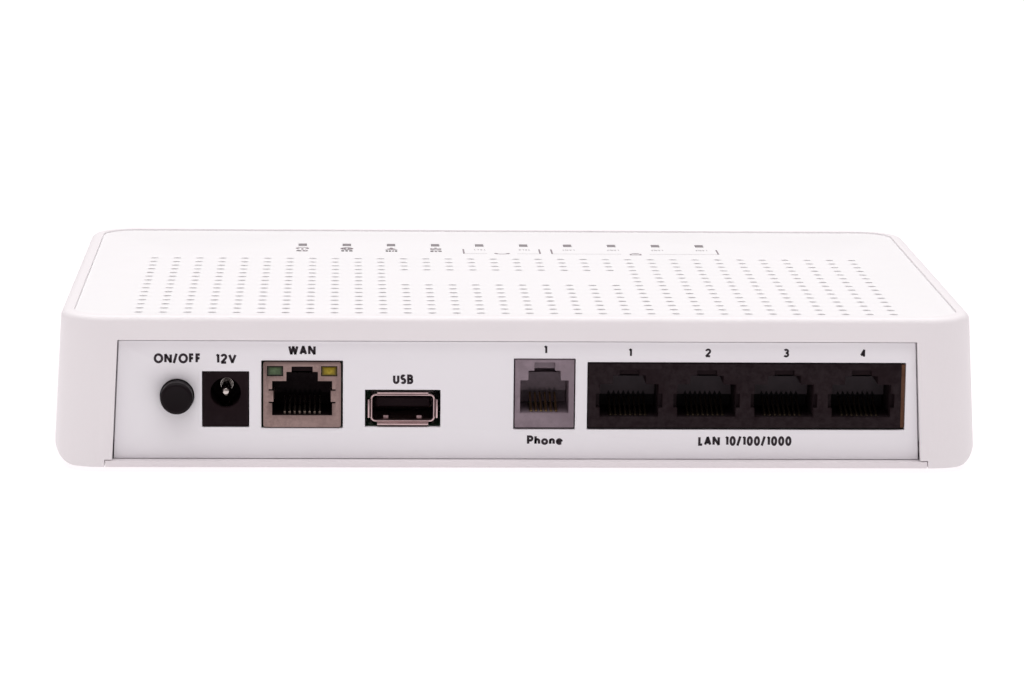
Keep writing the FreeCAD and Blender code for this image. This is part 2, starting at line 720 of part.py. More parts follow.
def usb_shell():
    front = PANEL_FACE + 0.8
    outer = rounded_tube_block(USB_HALF_X, USB_HALF_Z, (front, USB_REAR), 1.0)
    inner = rounded_tube_block(USB_HALF_X - SHEET, USB_HALF_Z - SHEET, (front - 1, USB_REAR - SHEET), 0.7)
    lips = [flared_lip(turn) for turn in (0, 90, 180, 270)]
    tabs = []
    for x in (-3.4, 3.4):
        tabs.append(box((USB_X + x - 0.5, USB_X + x + 0.5), (front + 2.5, front + 3.5),
                        (USB_Z - USB_HALF_Z + 0.2, USB_Z - USB_HALF_Z + 0.8)))
    legs = []
    for side in (-1, 1):
        x = sorted((USB_X + side * USB_HALF_X, USB_X + side * (USB_HALF_X - SHEET)))
        legs.append(box(x, (front + 6.0, front + 8.5), (BOARD_TOP, USB_Z)))
    return outer.cut(inner).fuse(lips + tabs + legs).removeSplitter()


def usb_tongue():
    rear = USB_REAR - SHEET - 0.1
    blade = box((USB_X - 5.5, USB_X + 5.5), (PANEL_FACE + 2.6, rear), (USB_Z - 0.1, USB_Z + 1.75))
    root = box((USB_X - 5.9, USB_X + 5.9), (rear - 2.6, rear), (USB_Z - 2.3, USB_Z + 2.3))
    blade = blade.makeChamfer(0.3, [e for e in blade.Edges if e.BoundBox.YMax < PANEL_FACE + 2.61])
    return join([blade, root])


def usb_contacts():
    strips = []
    for x in (-3.5, -1.0, 1.0, 3.5):
        strips.append(block(USB_X + x, PANEL_FACE + 7.8, USB_Z - 0.2, (1.0, 6.0, 0.1)))
    return group(strips)


def power_button_cap():
    cap = rod_y(BUTTON_R, BUTTON_X, BUTTON_Z, (CAP_FRONT, CAP_REAR))
    cap = cap.makeFillet(0.8, [e for e in cap.Edges if e.BoundBox.YMax < CAP_FRONT + 0.01])
    dish = Part.makeSphere(20.0, V(BUTTON_X, CAP_FRONT - 20.0 + 0.18, BUTTON_Z))
    socket = box(
        (BUTTON_X - PLUNGER_HALF, BUTTON_X + PLUNGER_HALF), (CAP_REAR - 5.0, CAP_REAR + 1),
        (BUTTON_Z - PLUNGER_HALF, BUTTON_Z + PLUNGER_HALF))
    return cap.cut([dish, socket])


def switch_square(half, y):
    return box((BUTTON_X - half, BUTTON_X + half), y, (BUTTON_Z - half, BUTTON_Z + half))


def power_switch_plunger():
    return switch_square(PLUNGER_HALF, (CAP_REAR - 5.0, SWITCH_FRONT + 7.0))


def power_switch_body():
    body = switch_square(SWITCH_HALF, (SWITCH_FRONT, SWITCH_REAR))
    return body.cut(switch_square(PLUNGER_HALF + 0.15, (SWITCH_FRONT - 1, SWITCH_FRONT + 10.0)))


def power_switch_bracket():
    """A folded steel saddle over the switch, with its feet on the board."""
    half = SWITCH_HALF + 0.5
    y = (SWITCH_FRONT + 3.0, SWITCH_FRONT + 10.0)
    outer = box((BUTTON_X - half, BUTTON_X + half), y, (BOARD_TOP, BUTTON_Z + half))
    inner = box(
        (BUTTON_X - SWITCH_HALF, BUTTON_X + SWITCH_HALF), (y[0] - 1, y[1] + 1),
        (BOARD_TOP - 1, BUTTON_Z + SWITCH_HALF))
    return outer.cut(inner)


def switch_terminal_spots():
    rows = [SWITCH_FRONT + 3.5, SWITCH_FRONT + 6.5, SWITCH_FRONT + 9.5]
    return [(BUTTON_X + side * 2.5, y) for y in rows for side in (-1, 1)]


def power_switch_terminals():
    z = (BOARD_UNDER - 1.2, BUTTON_Z - SWITCH_HALF)
    return group([post(0.4, x, y, z) for x, y in switch_terminal_spots()])


def power_switch_spring():
    """The return spring round the plunger, between the cap and the switch."""
    wire_r, coil_r = 0.2, 2.7
    length = SWITCH_FRONT - CAP_REAR - 2 * wire_r - 0.1
    helix = Part.makeHelix(length / 3.5, length, coil_r)
    ring = Part.Wire(Part.makeCircle(wire_r, V(coil_r, 0, 0), V(0, 1, 0)))
    spring = Part.Wire(helix).makePipeShell([ring], True, True)
    spring.rotate(V(0, 0, 0), V(1, 0, 0), -90)
    spring.translate(V(BUTTON_X, CAP_REAR + wire_r + 0.05, BUTTON_Z))
    return spring


def reset_switch_body():
    body = block(RESET_X, RESET_Y, BOARD_UNDER - 2.2, (6.0, 6.0, 2.2))
    return body.cut(post(1.5, RESET_X, RESET_Y, (0, BOARD_UNDER - 0.6)))


def reset_switch_plunger():
    top = BOARD_UNDER - 0.6 - RESET_TRAVEL - 0.15
    return post(1.3, RESET_X, RESET_Y, (3.2, top))


def socket_panel():
    """The plate behind the rear window, with a rim that bears on the inside of the wall."""
    back = PANEL_FACE + PANEL_THICK
    face = front_profile(window_outline(-PANEL_GAP, PANEL_BOTTOM), (PANEL_FACE, back))
    rim = front_profile(window_outline(1.1, RIM_BOTTOM), (back, back + 1.0))
    rim = rim.cut(front_profile(window_outline(-2.5, RIM_BOTTOM - 1), (back - 1, back + 2)))
    y = (PANEL_FACE - 1, back + 2)
    holes = [
        rod_y(BUTTON_R + 0.2, BUTTON_X, BUTTON_Z, y),
        box((POWER_X - 4.8, POWER_X + 4.8), y, (8.9, 20.5)),
        box((WAN_X - 8.3, WAN_X + 8.3), y, (8.75, 22.75)),
        box((USB_X - 7.7, USB_X + 7.7), y, (9.0, 16.75)),
        box((PHONE_X - 6.3, PHONE_X + 6.3), y, (8.6, 23.3)),
        box((LAN_BLOCK[0] - 0.2, LAN_BLOCK[1] + 0.9), y, (8.6, 22.6)),
    ]
    return face.fuse(rim).cut(holes).removeSplitter()


NODES = {
    "upper_housing": upper_housing,
    "top_vent_plate": top_vent_plate,
    "base_plate": base_plate,
    "socket_panel": socket_panel,
    "rubber_feet": rubber_feet,
    "case_screws": case_screws,
    "board_screws": board_screws,
    "light_pipes": light_pipes,
    "rating_label": rating_label,
    "main_board": main_board,
    "gateway_processor": lambda: chip((0.0, -5.0, (23.0, 23.0, 1.6))),
    "processor_heat_sink": heat_sink,
    "memory_chips": lambda: group([chip((-24.0, y, (10.0, 13.0, 1.1))) for y in (-12.0, 4.0)]),
    "flash_chip": lambda: chip(FLASH_CHIP),
    "network_switch_chip": lambda: chip(SWITCH_CHIP),
    "phone_line_chip": lambda: chip(PHONE_CHIP),
    "radio_chip": lambda: chip((50.0, 20.0, (9.0, 9.0, 0.9))),
    "radio_shield": radio_shield,
    "chip_leads": chip_leads,
    "jack_transformers": jack_transformers,
    "supply_capacitors": supply_capacitors,
    "power_inductors": power_inductors,
    "power_regulators": power_regulators,
    "clock_crystals": clock_crystals,
    "small_board_parts": small_parts,
    "status_lights": status_lights,
    "antenna_left": lambda: antenna(-1),
    "antenna_right": lambda: antenna(1),
    "power_jack_body": power_jack_body,
    "power_jack_pin": power_jack_pin,
    "power_jack_spring": power_jack_spring,
    "wan_jack_shield": wan_jack_shield,
    "wan_jack_body": wan_jack_body,
    "wan_jack_comb": lambda: comb_insert(WAN_X, WAN_CAVITY, 8, WAN_REAR),
    "wan_jack_contacts": lambda: group(
        jack_contacts(WAN_X, WAN_CAVITY[0], 8, JACK_FACE + 2.0, WIRE_LIFT_WAN)),
    "wan_link_light": lambda: wan_lamp(-1),
    "wan_activity_light": lambda: wan_lamp(1),
    "usb_shell": usb_shell,
    "usb_tongue": usb_tongue,
    "usb_contacts": usb_contacts,
    "phone_jack_body": phone_jack_body,
    "phone_jack_comb": lambda: comb_insert(PHONE_X, PHONE_CAVITY, 6, PHONE_REAR),
    "phone_jack_contacts": lambda: group(jack_contacts(PHONE_X, PHONE_CAVITY[0], 6, JACK_FACE + 2.8)),
    "lan_jack_body": lan_jack_body,
    "lan_jack_combs": lan_jack_combs,
    "lan_ground_strip": lan_ground_strip,
    "lan_jack_contacts": lan_jack_contacts,
    "power_button_cap": power_button_cap,
    "power_switch_plunger": power_switch_plunger,
    "power_switch_body": power_switch_body,
    "power_switch_bracket": power_switch_bracket,
    "power_switch_terminals": power_switch_terminals,
    "power_switch_spring": power_switch_spring,
    "reset_switch_body": reset_switch_body,
    "reset_switch_plunger": reset_switch_plunger,
}


def main():
    os.makedirs("parts", exist_ok=True)
    for name, make in NODES.items():
        shape = make()
        if not shape.isValid():
            print("not valid:", name)
        print(name, len(shape.Solids), round(shape.Volume, 2))
        shape.exportStep("parts/" + name + ".step")


main()
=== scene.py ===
"""Looks of a home internet gateway: white moulded case, perforated top plate, panel of sockets."""
import json
import math

import bmesh
import bpy
from mathutils import Matrix, Vector

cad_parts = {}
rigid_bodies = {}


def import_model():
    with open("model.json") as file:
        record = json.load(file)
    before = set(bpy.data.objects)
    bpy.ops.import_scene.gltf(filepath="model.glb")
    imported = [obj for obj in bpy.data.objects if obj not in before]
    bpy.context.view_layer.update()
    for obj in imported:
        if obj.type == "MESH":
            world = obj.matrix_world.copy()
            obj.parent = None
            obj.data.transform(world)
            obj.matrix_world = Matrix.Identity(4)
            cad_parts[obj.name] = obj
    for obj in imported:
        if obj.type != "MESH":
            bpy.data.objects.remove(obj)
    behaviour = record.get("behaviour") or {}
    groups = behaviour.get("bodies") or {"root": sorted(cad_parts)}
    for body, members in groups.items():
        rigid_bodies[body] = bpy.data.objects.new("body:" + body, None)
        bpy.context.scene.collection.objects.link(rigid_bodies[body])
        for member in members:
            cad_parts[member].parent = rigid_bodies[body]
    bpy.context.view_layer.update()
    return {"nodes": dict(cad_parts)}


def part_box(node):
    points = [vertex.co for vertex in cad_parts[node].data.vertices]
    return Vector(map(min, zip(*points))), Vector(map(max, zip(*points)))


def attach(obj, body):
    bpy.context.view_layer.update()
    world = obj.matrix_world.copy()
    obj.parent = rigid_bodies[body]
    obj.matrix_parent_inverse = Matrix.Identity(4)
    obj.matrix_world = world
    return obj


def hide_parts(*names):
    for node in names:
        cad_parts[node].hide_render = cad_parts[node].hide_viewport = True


MM = 0.001
BODY = "gateway"

for leftover in list(bpy.data.objects):
    bpy.data.objects.remove(leftover)
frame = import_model()

# ---------------------------------------------------------------- camera, light and floor
CAMERA_SPOT = Vector((-0.0353, -0.85415, 0.1713))
CAMERA_YAW = math.radians(2.44)
CAMERA_PITCH = math.radians(10.28)
CAMERA_ROLL = math.radians(0.61)
CAMERA_LENS = 139.8
CEILING_STRENGTH = 2.75
FRONT_BOX_POWER = 1.0
FRONT_BOX_COLOUR = (1.0, 0.88, 0.91)
ROOM_STRENGTH = 0.39
ROOM_COLOUR = (1.0, 0.905, 0.935)
FLOOR_COLOUR = (0.27, 0.25, 0.26)
FLOOR_GLOW = 0.82
FLOOR_GLOW_COLOUR = (1.0, 0.97, 0.98)
FLOOR_REACH = 20.0


def new_object(name, data):
    thing = bpy.data.objects.new(name, data)
    bpy.context.scene.collection.objects.link(thing)
    return thing


def place_camera():
    level = Vector((math.sin(CAMERA_YAW), math.cos(CAMERA_YAW), 0))
    side = Vector((math.cos(CAMERA_YAW), -math.sin(CAMERA_YAW), 0))
    up = Vector((0, 0, 1))
    ahead = level * math.cos(CAMERA_PITCH) - up * math.sin(CAMERA_PITCH)
    over = up * math.cos(CAMERA_PITCH) + level * math.sin(CAMERA_PITCH)
    right = side * math.cos(CAMERA_ROLL) + over * math.sin(CAMERA_ROLL)
    top = over * math.cos(CAMERA_ROLL) - side * math.sin(CAMERA_ROLL)
    data = bpy.data.cameras.new("camera")
    data.lens = CAMERA_LENS
    data.sensor_width = 36.0
    data.clip_start = 0.01
    data.clip_end = 50.0
    camera = new_object("camera", data)
    camera.matrix_world = Matrix((right, top, -ahead)).transposed().to_4x4()
    camera.location = CAMERA_SPOT
    bpy.context.scene.camera = camera


def add_light(name, kind, spot, aim, strength, colour):
    data = bpy.data.lights.new(name, kind)
    data.energy = strength
    data.color = colour
    lamp = new_object(name, data)
    lamp.location = spot
    lamp.rotation_mode = "QUATERNION"
    lamp.rotation_quaternion = (Vector(aim) - Vector(spot)).to_track_quat("-Z", "Y")
    return data


def studio_light():
    """A wide soft ceiling, a weak soft box at the front left, and a pale room."""
    ceiling = add_light("ceiling", "SUN", (0, 0.2, 1.5), (0, 0, 0), CEILING_STRENGTH, (1, 1, 1))
    ceiling.angle = math.radians(80)
    box = add_light("front_box", "AREA", (-0.9, -1.6, 0.8), (0, 0, 0.02), FRONT_BOX_POWER, FRONT_BOX_COLOUR)
    box.size = 0.9
    world = bpy.data.worlds.new("studio_room")
    bpy.context.scene.world = world
    world.use_nodes = True
    tree = world.node_tree
    tree.nodes.clear()
    mix = add(tree, "ShaderNodeMixShader")
    feed(tree, mix.inputs["Fac"], add(tree, "ShaderNodeLightPath").outputs["Is Camera Ray"])
    for place, colour, strength in ((1, ROOM_COLOUR, ROOM_STRENGTH), (2, (1, 1, 1), 1.0)):
        room = add(tree, "ShaderNodeBackground")
        feed(tree, room.inputs["Color"], (*colour, 1))
        feed(tree, room.inputs["Strength"], strength)
        feed(tree, mix.inputs[place], room.outputs["Background"])
    feed(tree, add(tree, "ShaderNodeOutputWorld").inputs["Surface"], mix.outputs["Shader"])


def studio_floor():
    mesh = bpy.data.meshes.new("floor")
    corners = [(x, y, 0) for x, y in oblong(0, FLOOR_REACH, -FLOOR_REACH, FLOOR_REACH)]
    mesh.from_pydata(corners, [], [(0, 1, 2, 3)])
    paper = fresh("white_floor", Base_Color=(*FLOOR_COLOUR, 1), Roughness=0.9, Specular_IOR_Level=0.0,
                  Emission_Color=(*FLOOR_GLOW_COLOUR, 1), Emission_Strength=FLOOR_GLOW)[0]
    mesh.materials.append(paper)
    new_object("floor", mesh)


# ---------------------------------------------------------------- shader groups used by many finishes
def add(tree, kind, **settings):
    node = tree.nodes.new(kind)
    for key, value in settings.items():
        setattr(node, key, value)
    return node


def feed(tree, target, value):
    """Links value into a socket if it is a socket, and else sets the socket to it."""
    if isinstance(value, bpy.types.NodeSocket):
        tree.links.new(value, target)
    elif value is not None:
        target.default_value = value


def sums(tree, operation, a, b=None, c=None, clamp=False):
    node = add(tree, "ShaderNodeMath", operation=operation, use_clamp=clamp)
    for socket, value in zip(node.inputs, (a, b, c)):
        feed(tree, socket, value)
    return node.outputs[0]


def blend_colours(tree, share, first, second):
    node = add(tree, "ShaderNodeMix", data_type="RGBA")
    feed(tree, node.inputs["Factor"], share)
    feed(tree, node.inputs[6], first)
    feed(tree, node.inputs[7], second)
    return node.outputs[2]


def ramp(tree, value, low, high, out_low=0.0, out_high=1.0):
    node = add(tree, "ShaderNodeMapRange", interpolation_type="SMOOTHSTEP")
    for socket, number in zip(node.inputs, (value, low, high, out_low, out_high)):
        feed(tree, socket, number)
    return node.outputs[0]


def noise(tree, where, scale, detail, roughness=0.5):
    node = add(tree, "ShaderNodeTexNoise")
    feed(tree, node.inputs["Vector"], where)
    feed(tree, node.inputs["Scale"], scale)
    node.inputs["Detail"].default_value = detail
    node.inputs["Roughness"].default_value = roughness
    return node.outputs["Fac"]


def object_place(tree):
    return add(tree, "ShaderNodeTexCoord").outputs["Object"]


def object_axes(tree):
    split = add(tree, "ShaderNodeSeparateXYZ")
    feed(tree, split.inputs[0], object_place(tree))
    return split.outputs


COLOUR, NUMBER, ARROW = "NodeSocketColor", "NodeSocketFloat", "NodeSocketVector"


def shader_group(name, takes, gives):
    """An empty node group with named sockets; returns it with its inner input and output nodes."""
    group = bpy.data.node_groups.new(name, "ShaderNodeTree")
    for label, kind in takes:
        group.interface.new_socket(label, in_out="INPUT", socket_type=kind)
    for label, kind in gives:
        group.interface.new_socket(label, in_out="OUTPUT", socket_type=kind)
    return group, group.nodes.new("NodeGroupInput").outputs, group.nodes.new("NodeGroupOutput").inputs


def make_moulded_skin():
    """Moulded plastic: a fine spark-eroded grain, and slow flow marks in colour and gloss."""
    group, given, out = shader_group(
        "moulded_skin",
        [("Colour", COLOUR), ("Flow Colour", COLOUR), ("Grain Size", NUMBER), ("Flow Size", NUMBER),
         ("Roughness", NUMBER), ("Gloss Spread", NUMBER)],
        [("Colour", COLOUR), ("Roughness", NUMBER), ("Height", NUMBER)])
    where = object_place(group)
    grain = noise(group, where, sums(group, "DIVIDE", 1.0, given["Grain Size"]), 3.0, 0.6)
    pits = noise(group, where, sums(group, "DIVIDE", 0.37, given["Grain Size"]), 1.0)
    flow = noise(group, where, sums(group, "DIVIDE", 1.0, given["Flow Size"]), 4.0)
    share = ramp(group, flow, 0.35, 0.7)
    feed(group, out["Colour"], blend_colours(group, share, given["Colour"], given["Flow Colour"]))
    swing = sums(group, "SUBTRACT", sums(group, "ADD", flow, sums(group, "MULTIPLY", grain, 0.6)), 0.8)
    feed(group, out["Roughness"],
         sums(group, "MULTIPLY_ADD", swing, given["Gloss Spread"], given["Roughness"], clamp=True))
    feed(group, out["Height"], sums(group, "MULTIPLY_ADD", pits, 0.5, grain))
    return group


def make_settled_dust():
    """Fine dust that lies in patches on faces that look up."""
    group, given, out = shader_group(
        "settled_dust",
        [("Colour", COLOUR), ("Dust Colour", COLOUR), ("Amount", NUMBER), ("Patch Size", NUMBER)],
        [("Colour", COLOUR), ("Dust", NUMBER)])
    normal = add(group, "ShaderNodeNewGeometry").outputs["Normal"]
    split = add(group, "ShaderNodeSeparateXYZ")
    feed(group, split.inputs[0], normal)
    upward = ramp(group, split.outputs["Z"], 0.2, 0.95)
    patches = noise(group, object_place(group), sums(group, "DIVIDE", 1.0, given["Patch Size"]), 6.0, 0.65)
    lies = sums(group, "MULTIPLY", upward, ramp(group, patches, 0.35, 0.75))
    dust = sums(group, "MULTIPLY", lies, given["Amount"])
    feed(group, out["Colour"], blend_colours(group, dust, given["Colour"], given["Dust Colour"]))
    feed(group, out["Dust"], dust)
    return group


def make_edge_rub():
    """Where corners stand proud they are rubbed: a mask and a changed colour."""
    group, given, out = shader_group(
        "edge_rub",
        [("Colour", COLOUR), ("Rubbed Colour", COLOUR), ("Amount", NUMBER), ("Break Size", NUMBER)],
        [("Colour", COLOUR), ("Rub", NUMBER)])
    proud = ramp(group, add(group, "ShaderNodeNewGeometry").outputs["Pointiness"], 0.52, 0.62)
    broken = noise(group, object_place(group), sums(group, "DIVIDE", 1.0, given["Break Size"]), 5.0, 0.7)
    worn = sums(group, "MULTIPLY", proud, ramp(group, broken, 0.3, 0.65))
    rub = sums(group, "MULTIPLY", worn, given["Amount"], clamp=True)
    feed(group, out["Colour"], blend_colours(group, rub, given["Colour"], given["Rubbed Colour"]))
    feed(group, out["Rub"], rub)
    return group


def make_rolled_sheet():
    """Rolled or drawn metal: long streaks in one direction, with dull patches."""
    group, given, out = shader_group(
        "rolled_sheet",
        [("Colour", COLOUR), ("Dull Colour", COLOUR), ("Streaks", ARROW), ("Patch Size", NUMBER),
         ("Roughness", NUMBER), ("Gloss Spread", NUMBER)],
        [("Colour", COLOUR), ("Roughness", NUMBER), ("Height", NUMBER)])
    where = object_place(group)
    stretch = add(group, "ShaderNodeVectorMath", operation="MULTIPLY")
    feed(group, stretch.inputs[0], where)
    feed(group, stretch.inputs[1], given["Streaks"])
    streak = noise(group, stretch.outputs[0], 1.0, 3.0, 0.6)
    patch = noise(group, where, sums(group, "DIVIDE", 1.0, given["Patch Size"]), 4.0, 0.6)
    dull = ramp(group, patch, 0.45, 0.75)
    feed(group, out["Colour"], blend_colours(group, dull, given["Colour"], given["Dull Colour"]))
    swing = sums(group, "SUBTRACT", sums(group, "ADD", streak, patch), 1.0)
    feed(group, out["Roughness"],
         sums(group, "MULTIPLY_ADD", swing, given["Gloss Spread"], given["Roughness"], clamp=True))
    feed(group, out["Height"], streak)
    return group


GROUPS = {
    "skin": make_moulded_skin(),
    "dust": make_settled_dust(),
    "rub": make_edge_rub(),
    "sheet": make_rolled_sheet(),
}


# ---------------------------------------------------------------- finishes
def fresh(name, **on_shader):
    """A new material; on_shader holds the values that are the same all over."""
    material = bpy.data.materials.new(name)
    material.use_nodes = True
    shader = material.node_tree.nodes["Principled BSDF"]
    for key, value in on_shader.items():
        shader.inputs[key.replace("_", " ")].default_value = value
    return material, material.node_tree, shader


def lay(tree, which, **values):
    """Places a shader group in a material with its own values, and returns its outputs."""
    node = add(tree, "ShaderNodeGroup", node_tree=GROUPS[which])
    for key, value in values.items():
        socket = node.inputs[key.replace("_", " ")]
        feed(tree, socket, (*value, 1) if isinstance(value, tuple) and socket.type == "RGBA" else value)
    return node.outputs


def lay_skin(tree, colour, flow, grain, flow_size, roughness, spread):
    """Lays the moulded skin. Sizes are in millimetres."""
    return lay(tree, "skin", Colour=colour, Flow_Colour=flow, Grain_Size=grain * MM,
               Flow_Size=flow_size * MM, Roughness=roughness, Gloss_Spread=spread)


def coat(tree, shader, colour, roughness, height, depth):
    """Gives the shader its colour, its roughness and a raised pattern, whose depth is in millimetres."""
    feed(tree, shader.inputs["Base Color"], colour)
    feed(tree, shader.inputs["Roughness"], roughness)
    bump = add(tree, "ShaderNodeBump")
    bump.inputs["Distance"].default_value = depth * MM
    feed(tree, bump.inputs["Height"], height)
    feed(tree, shader.inputs["Normal"], bump.outputs["Normal"])


def moulded(name, colour, flow, roughness, spread=0.15, grain=0.3, depth=0.012, flow_size=30.0,
            dust=0.0, rub=0.0, **on_shader):
    """A moulded plastic or rubber. Sizes are in millimetres."""
    material, tree, shader = fresh(name, **on_shader)
    skin = lay_skin(tree, colour, flow, grain, flow_size, roughness, spread)
    paint, gloss = skin["Colour"], skin["Roughness"]
    if rub:
        lighter = tuple(min(1.0, 1.6 * c + 0.02) for c in colour)
        rubbed = lay(tree, "rub", Colour=paint, Rubbed_Colour=lighter, Amount=rub, Break_Size=1.5 * MM)
        paint = rubbed["Colour"]
    if dust:
        dusty = lay(tree, "dust", Colour=paint, Dust_Colour=(0.62, 0.6, 0.58), Amount=dust,
                    Patch_Size=9.0 * MM)
        paint = dusty["Colour"]
        gloss = sums(tree, "MULTIPLY_ADD", dusty["Dust"], 0.6, gloss, clamp=True)
    coat(tree, shader, paint, gloss, skin["Height"], depth)
    return material


def sheet_metal(name, colour, dull, roughness, spread=0.25, streaks=(200.0, 4000.0, 4000.0), patch=6.0,
                depth=0.006, rub=0.0, **on_shader):
    """A bare or plated metal. Patch and depth are in millimetres, streaks is in streaks to the metre."""
    material, tree, shader = fresh(name, Metallic=1.0, **on_shader)
    sheet = lay(tree, "sheet", Colour=colour, Dull_Colour=dull, Streaks=streaks, Patch_Size=patch * MM,
                Roughness=roughness, Gloss_Spread=spread)
    paint = sheet["Colour"]
    if rub:
        lighter = tuple(min(1.0, 1.25 * c) for c in colour)
        rubbed = lay(tree, "rub", Colour=paint, Rubbed_Colour=lighter, Amount=rub, Break_Size=0.8 * MM)
        paint = rubbed["Colour"]
    coat(tree, shader, paint, sheet["Roughness"], sheet["Height"], depth)
    return material


def housing_white():
    return moulded("housing_white", (0.85, 0.825, 0.835), (0.835, 0.808, 0.82), 0.42, grain=0.35,
                   depth=0.016, dust=0.05, Specular_IOR_Level=0.4)


def vent_plate_white():
    return moulded("vent_plate_white", (0.855, 0.852, 0.856), (0.845, 0.838, 0.844), 0.45, grain=0.3,
                   depth=0.012, dust=0.05, Specular_IOR_Level=0.35)


def panel_white():
    return moulded("panel_white", (0.852, 0.845, 0.868), (0.837, 0.826, 0.85), 0.5, grain=0.25,
                   depth=0.008, flow_size=45.0, Specular_IOR_Level=0.35)


def base_white():
    return moulded("base_white", (0.84, 0.80, 0.815), (0.82, 0.78, 0.8), 0.5, grain=0.4, depth=0.02,
                   Specular_IOR_Level=0.35)


def foot_rubber():
    return moulded("foot_rubber", (0.03, 0.03, 0.032), (0.045, 0.043, 0.043), 0.75, grain=0.4,
                   depth=0.04, flow_size=4.0, dust=0.1, Specular_IOR_Level=0.3)


def ink(name, colour, flow, roughness):
    return moulded(name, colour, flow, roughness, grain=0.12, depth=0.004, flow_size=2.0,
                   Specular_IOR_Level=0.3)


def legend_ink():
    return ink("legend_ink", (0.022, 0.014, 0.02), (0.03, 0.02, 0.027), 0.55)


def light_mark_ink():
    return ink("light_mark_ink", (0.24, 0.2, 0.22), (0.3, 0.27, 0.28), 0.6)


def faint_mark_ink():
    return ink("faint_mark_ink", (0.46, 0.44, 0.45), (0.52, 0.50, 0.51), 0.6)


def screw_steel():
    return sheet_metal("screw_steel", (0.55, 0.56, 0.58), (0.42, 0.42, 0.43), 0.35,
                       streaks=(2500.0, 2500.0, 900.0), patch=2.0)


def clear_pipe():
    return moulded("clear_pipe", (0.22, 0.2, 0.21), (0.26, 0.24, 0.25), 0.4, grain=0.2, depth=0.002,
                   flow_size=3.0, Coat_Weight=0.6, Coat_Roughness=0.08)


def label_silver():
    return sheet_metal("label_silver", (0.72, 0.72, 0.73), (0.64, 0.64, 0.65), 0.42,
                       streaks=(60.0, 5000.0, 5000.0), patch=14.0, depth=0.003)


def board_green():
    """Solder mask over copper: straight tracks show as lighter, slightly raised bands."""
    material, tree, shader = fresh("board_green", Coat_Weight=0.35, Coat_Roughness=0.25)
    where = object_place(tree)
    tracks = add(tree, "ShaderNodeTexBrick", offset=0.5, squash=2.0, squash_frequency=3)
    feed(tree, tracks.inputs["Vector"], where)
    for label, value in (("Scale", 90.0), ("Mortar Size", 0.045), ("Brick Width", 0.9), ("Row Height", 0.14)):
        tracks.inputs[label].default_value = value
    tracks.inputs["Color1"].default_value = (0.006, 0.045, 0.018, 1)
    tracks.inputs["Color2"].default_value = (0.008, 0.055, 0.022, 1)
    tracks.inputs["Mortar"].default_value = (0.02, 0.1, 0.035, 1)
    skin = lay_skin(tree, tracks.outputs["Color"], (0.007, 0.05, 0.02), grain=0.5, flow_size=25.0,
                    roughness=0.32, spread=0.15)
    dusty = lay(tree, "dust", Colour=skin["Colour"], Dust_Colour=(0.4, 0.39, 0.37), Amount=0.12,
                Patch_Size=12.0 * MM)
    coat(tree, shader, dusty["Colour"], skin["Roughness"], tracks.outputs["Fac"], 0.03)
    return material


def chip_black():
    return moulded("chip_black", (0.018, 0.018, 0.02), (0.026, 0.026, 0.027), 0.55, grain=0.15,
                   depth=0.01, flow_size=6.0, dust=0.12, rub=0.3)


def heat_sink_metal():
    return sheet_metal("heat_sink_metal", (0.5, 0.51, 0.53), (0.4, 0.41, 0.43), 0.38,
                       streaks=(6000.0, 120.0, 6000.0), patch=8.0, depth=0.01)


def tin_plate():
    return sheet_metal("tin_plate", (0.68, 0.67, 0.66), (0.55, 0.54, 0.53), 0.33, patch=7.0)


def capacitor_can():
    """A dark shrink sleeve, open at the top where the bare can shows."""
    material, tree, shader = fresh("capacitor_can")
    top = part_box("supply_capacitors")[1].z
    bare = ramp(tree, object_axes(tree)["Z"], top - 0.45 * MM, top - 0.35 * MM)
    skin = lay_skin(tree, (0.012, 0.014, 0.03), (0.018, 0.02, 0.04), grain=0.5, flow_size=5.0,
                    roughness=0.3, spread=0.1)
    feed(tree, shader.inputs["Metallic"], bare)
    paint = blend_colours(tree, bare, skin["Colour"], (0.75, 0.75, 0.76, 1))
    coat(tree, shader, paint, skin["Roughness"], skin["Height"], 0.01)
    return material


def ferrite():
    return moulded("ferrite", (0.03, 0.029, 0.03), (0.05, 0.048, 0.047), 0.5, grain=0.2, depth=0.02,
                   flow_size=3.0, dust=0.15)


def small_part_ceramic():
    """Chip resistors and capacitors: dark and tan bodies with tinned ends, parted by place."""
    material, tree, shader = fresh("small_part_ceramic")
    kind = noise(tree, object_place(tree), 260.0, 0.0)
    tone = blend_colours(tree, ramp(tree, kind, 0.47, 0.53), (0.03, 0.03, 0.03, 1), (0.42, 0.3, 0.2, 1))
    skin = lay_skin(tree, tone, (0.35, 0.33, 0.3), grain=0.15, flow_size=2.0, roughness=0.4, spread=0.2)
    coat(tree, shader, skin["Colour"], skin["Roughness"], skin["Height"], 0.01)
    return material


def light_chip():
    return moulded("light_chip", (0.75, 0.7, 0.45), (0.8, 0.78, 0.6), 0.25, grain=0.15, depth=0.004,
                   flow_size=1.0, Subsurface_Weight=0.1)


def jack_black():
    return moulded("jack_black", (0.0098, 0.0048, 0.0062), (0.0125, 0.0065, 0.008), 0.6, grain=0.2,
                   depth=0.01, flow_size=6.0, rub=0.4, Specular_IOR_Level=0.06)


def jack_grey():
    return moulded("jack_grey", (0.185, 0.142, 0.165), (0.21, 0.165, 0.19), 0.55, grain=0.2, depth=0.01,
                   flow_size=6.0, rub=0.4, Specular_IOR_Level=0.35)


def jack_shield():
    return sheet_metal("jack_shield", (0.235, 0.168, 0.155), (0.185, 0.128, 0.116), 0.42, spread=0.3,
                       streaks=(300.0, 300.0, 5000.0), patch=5.0, rub=0.9)


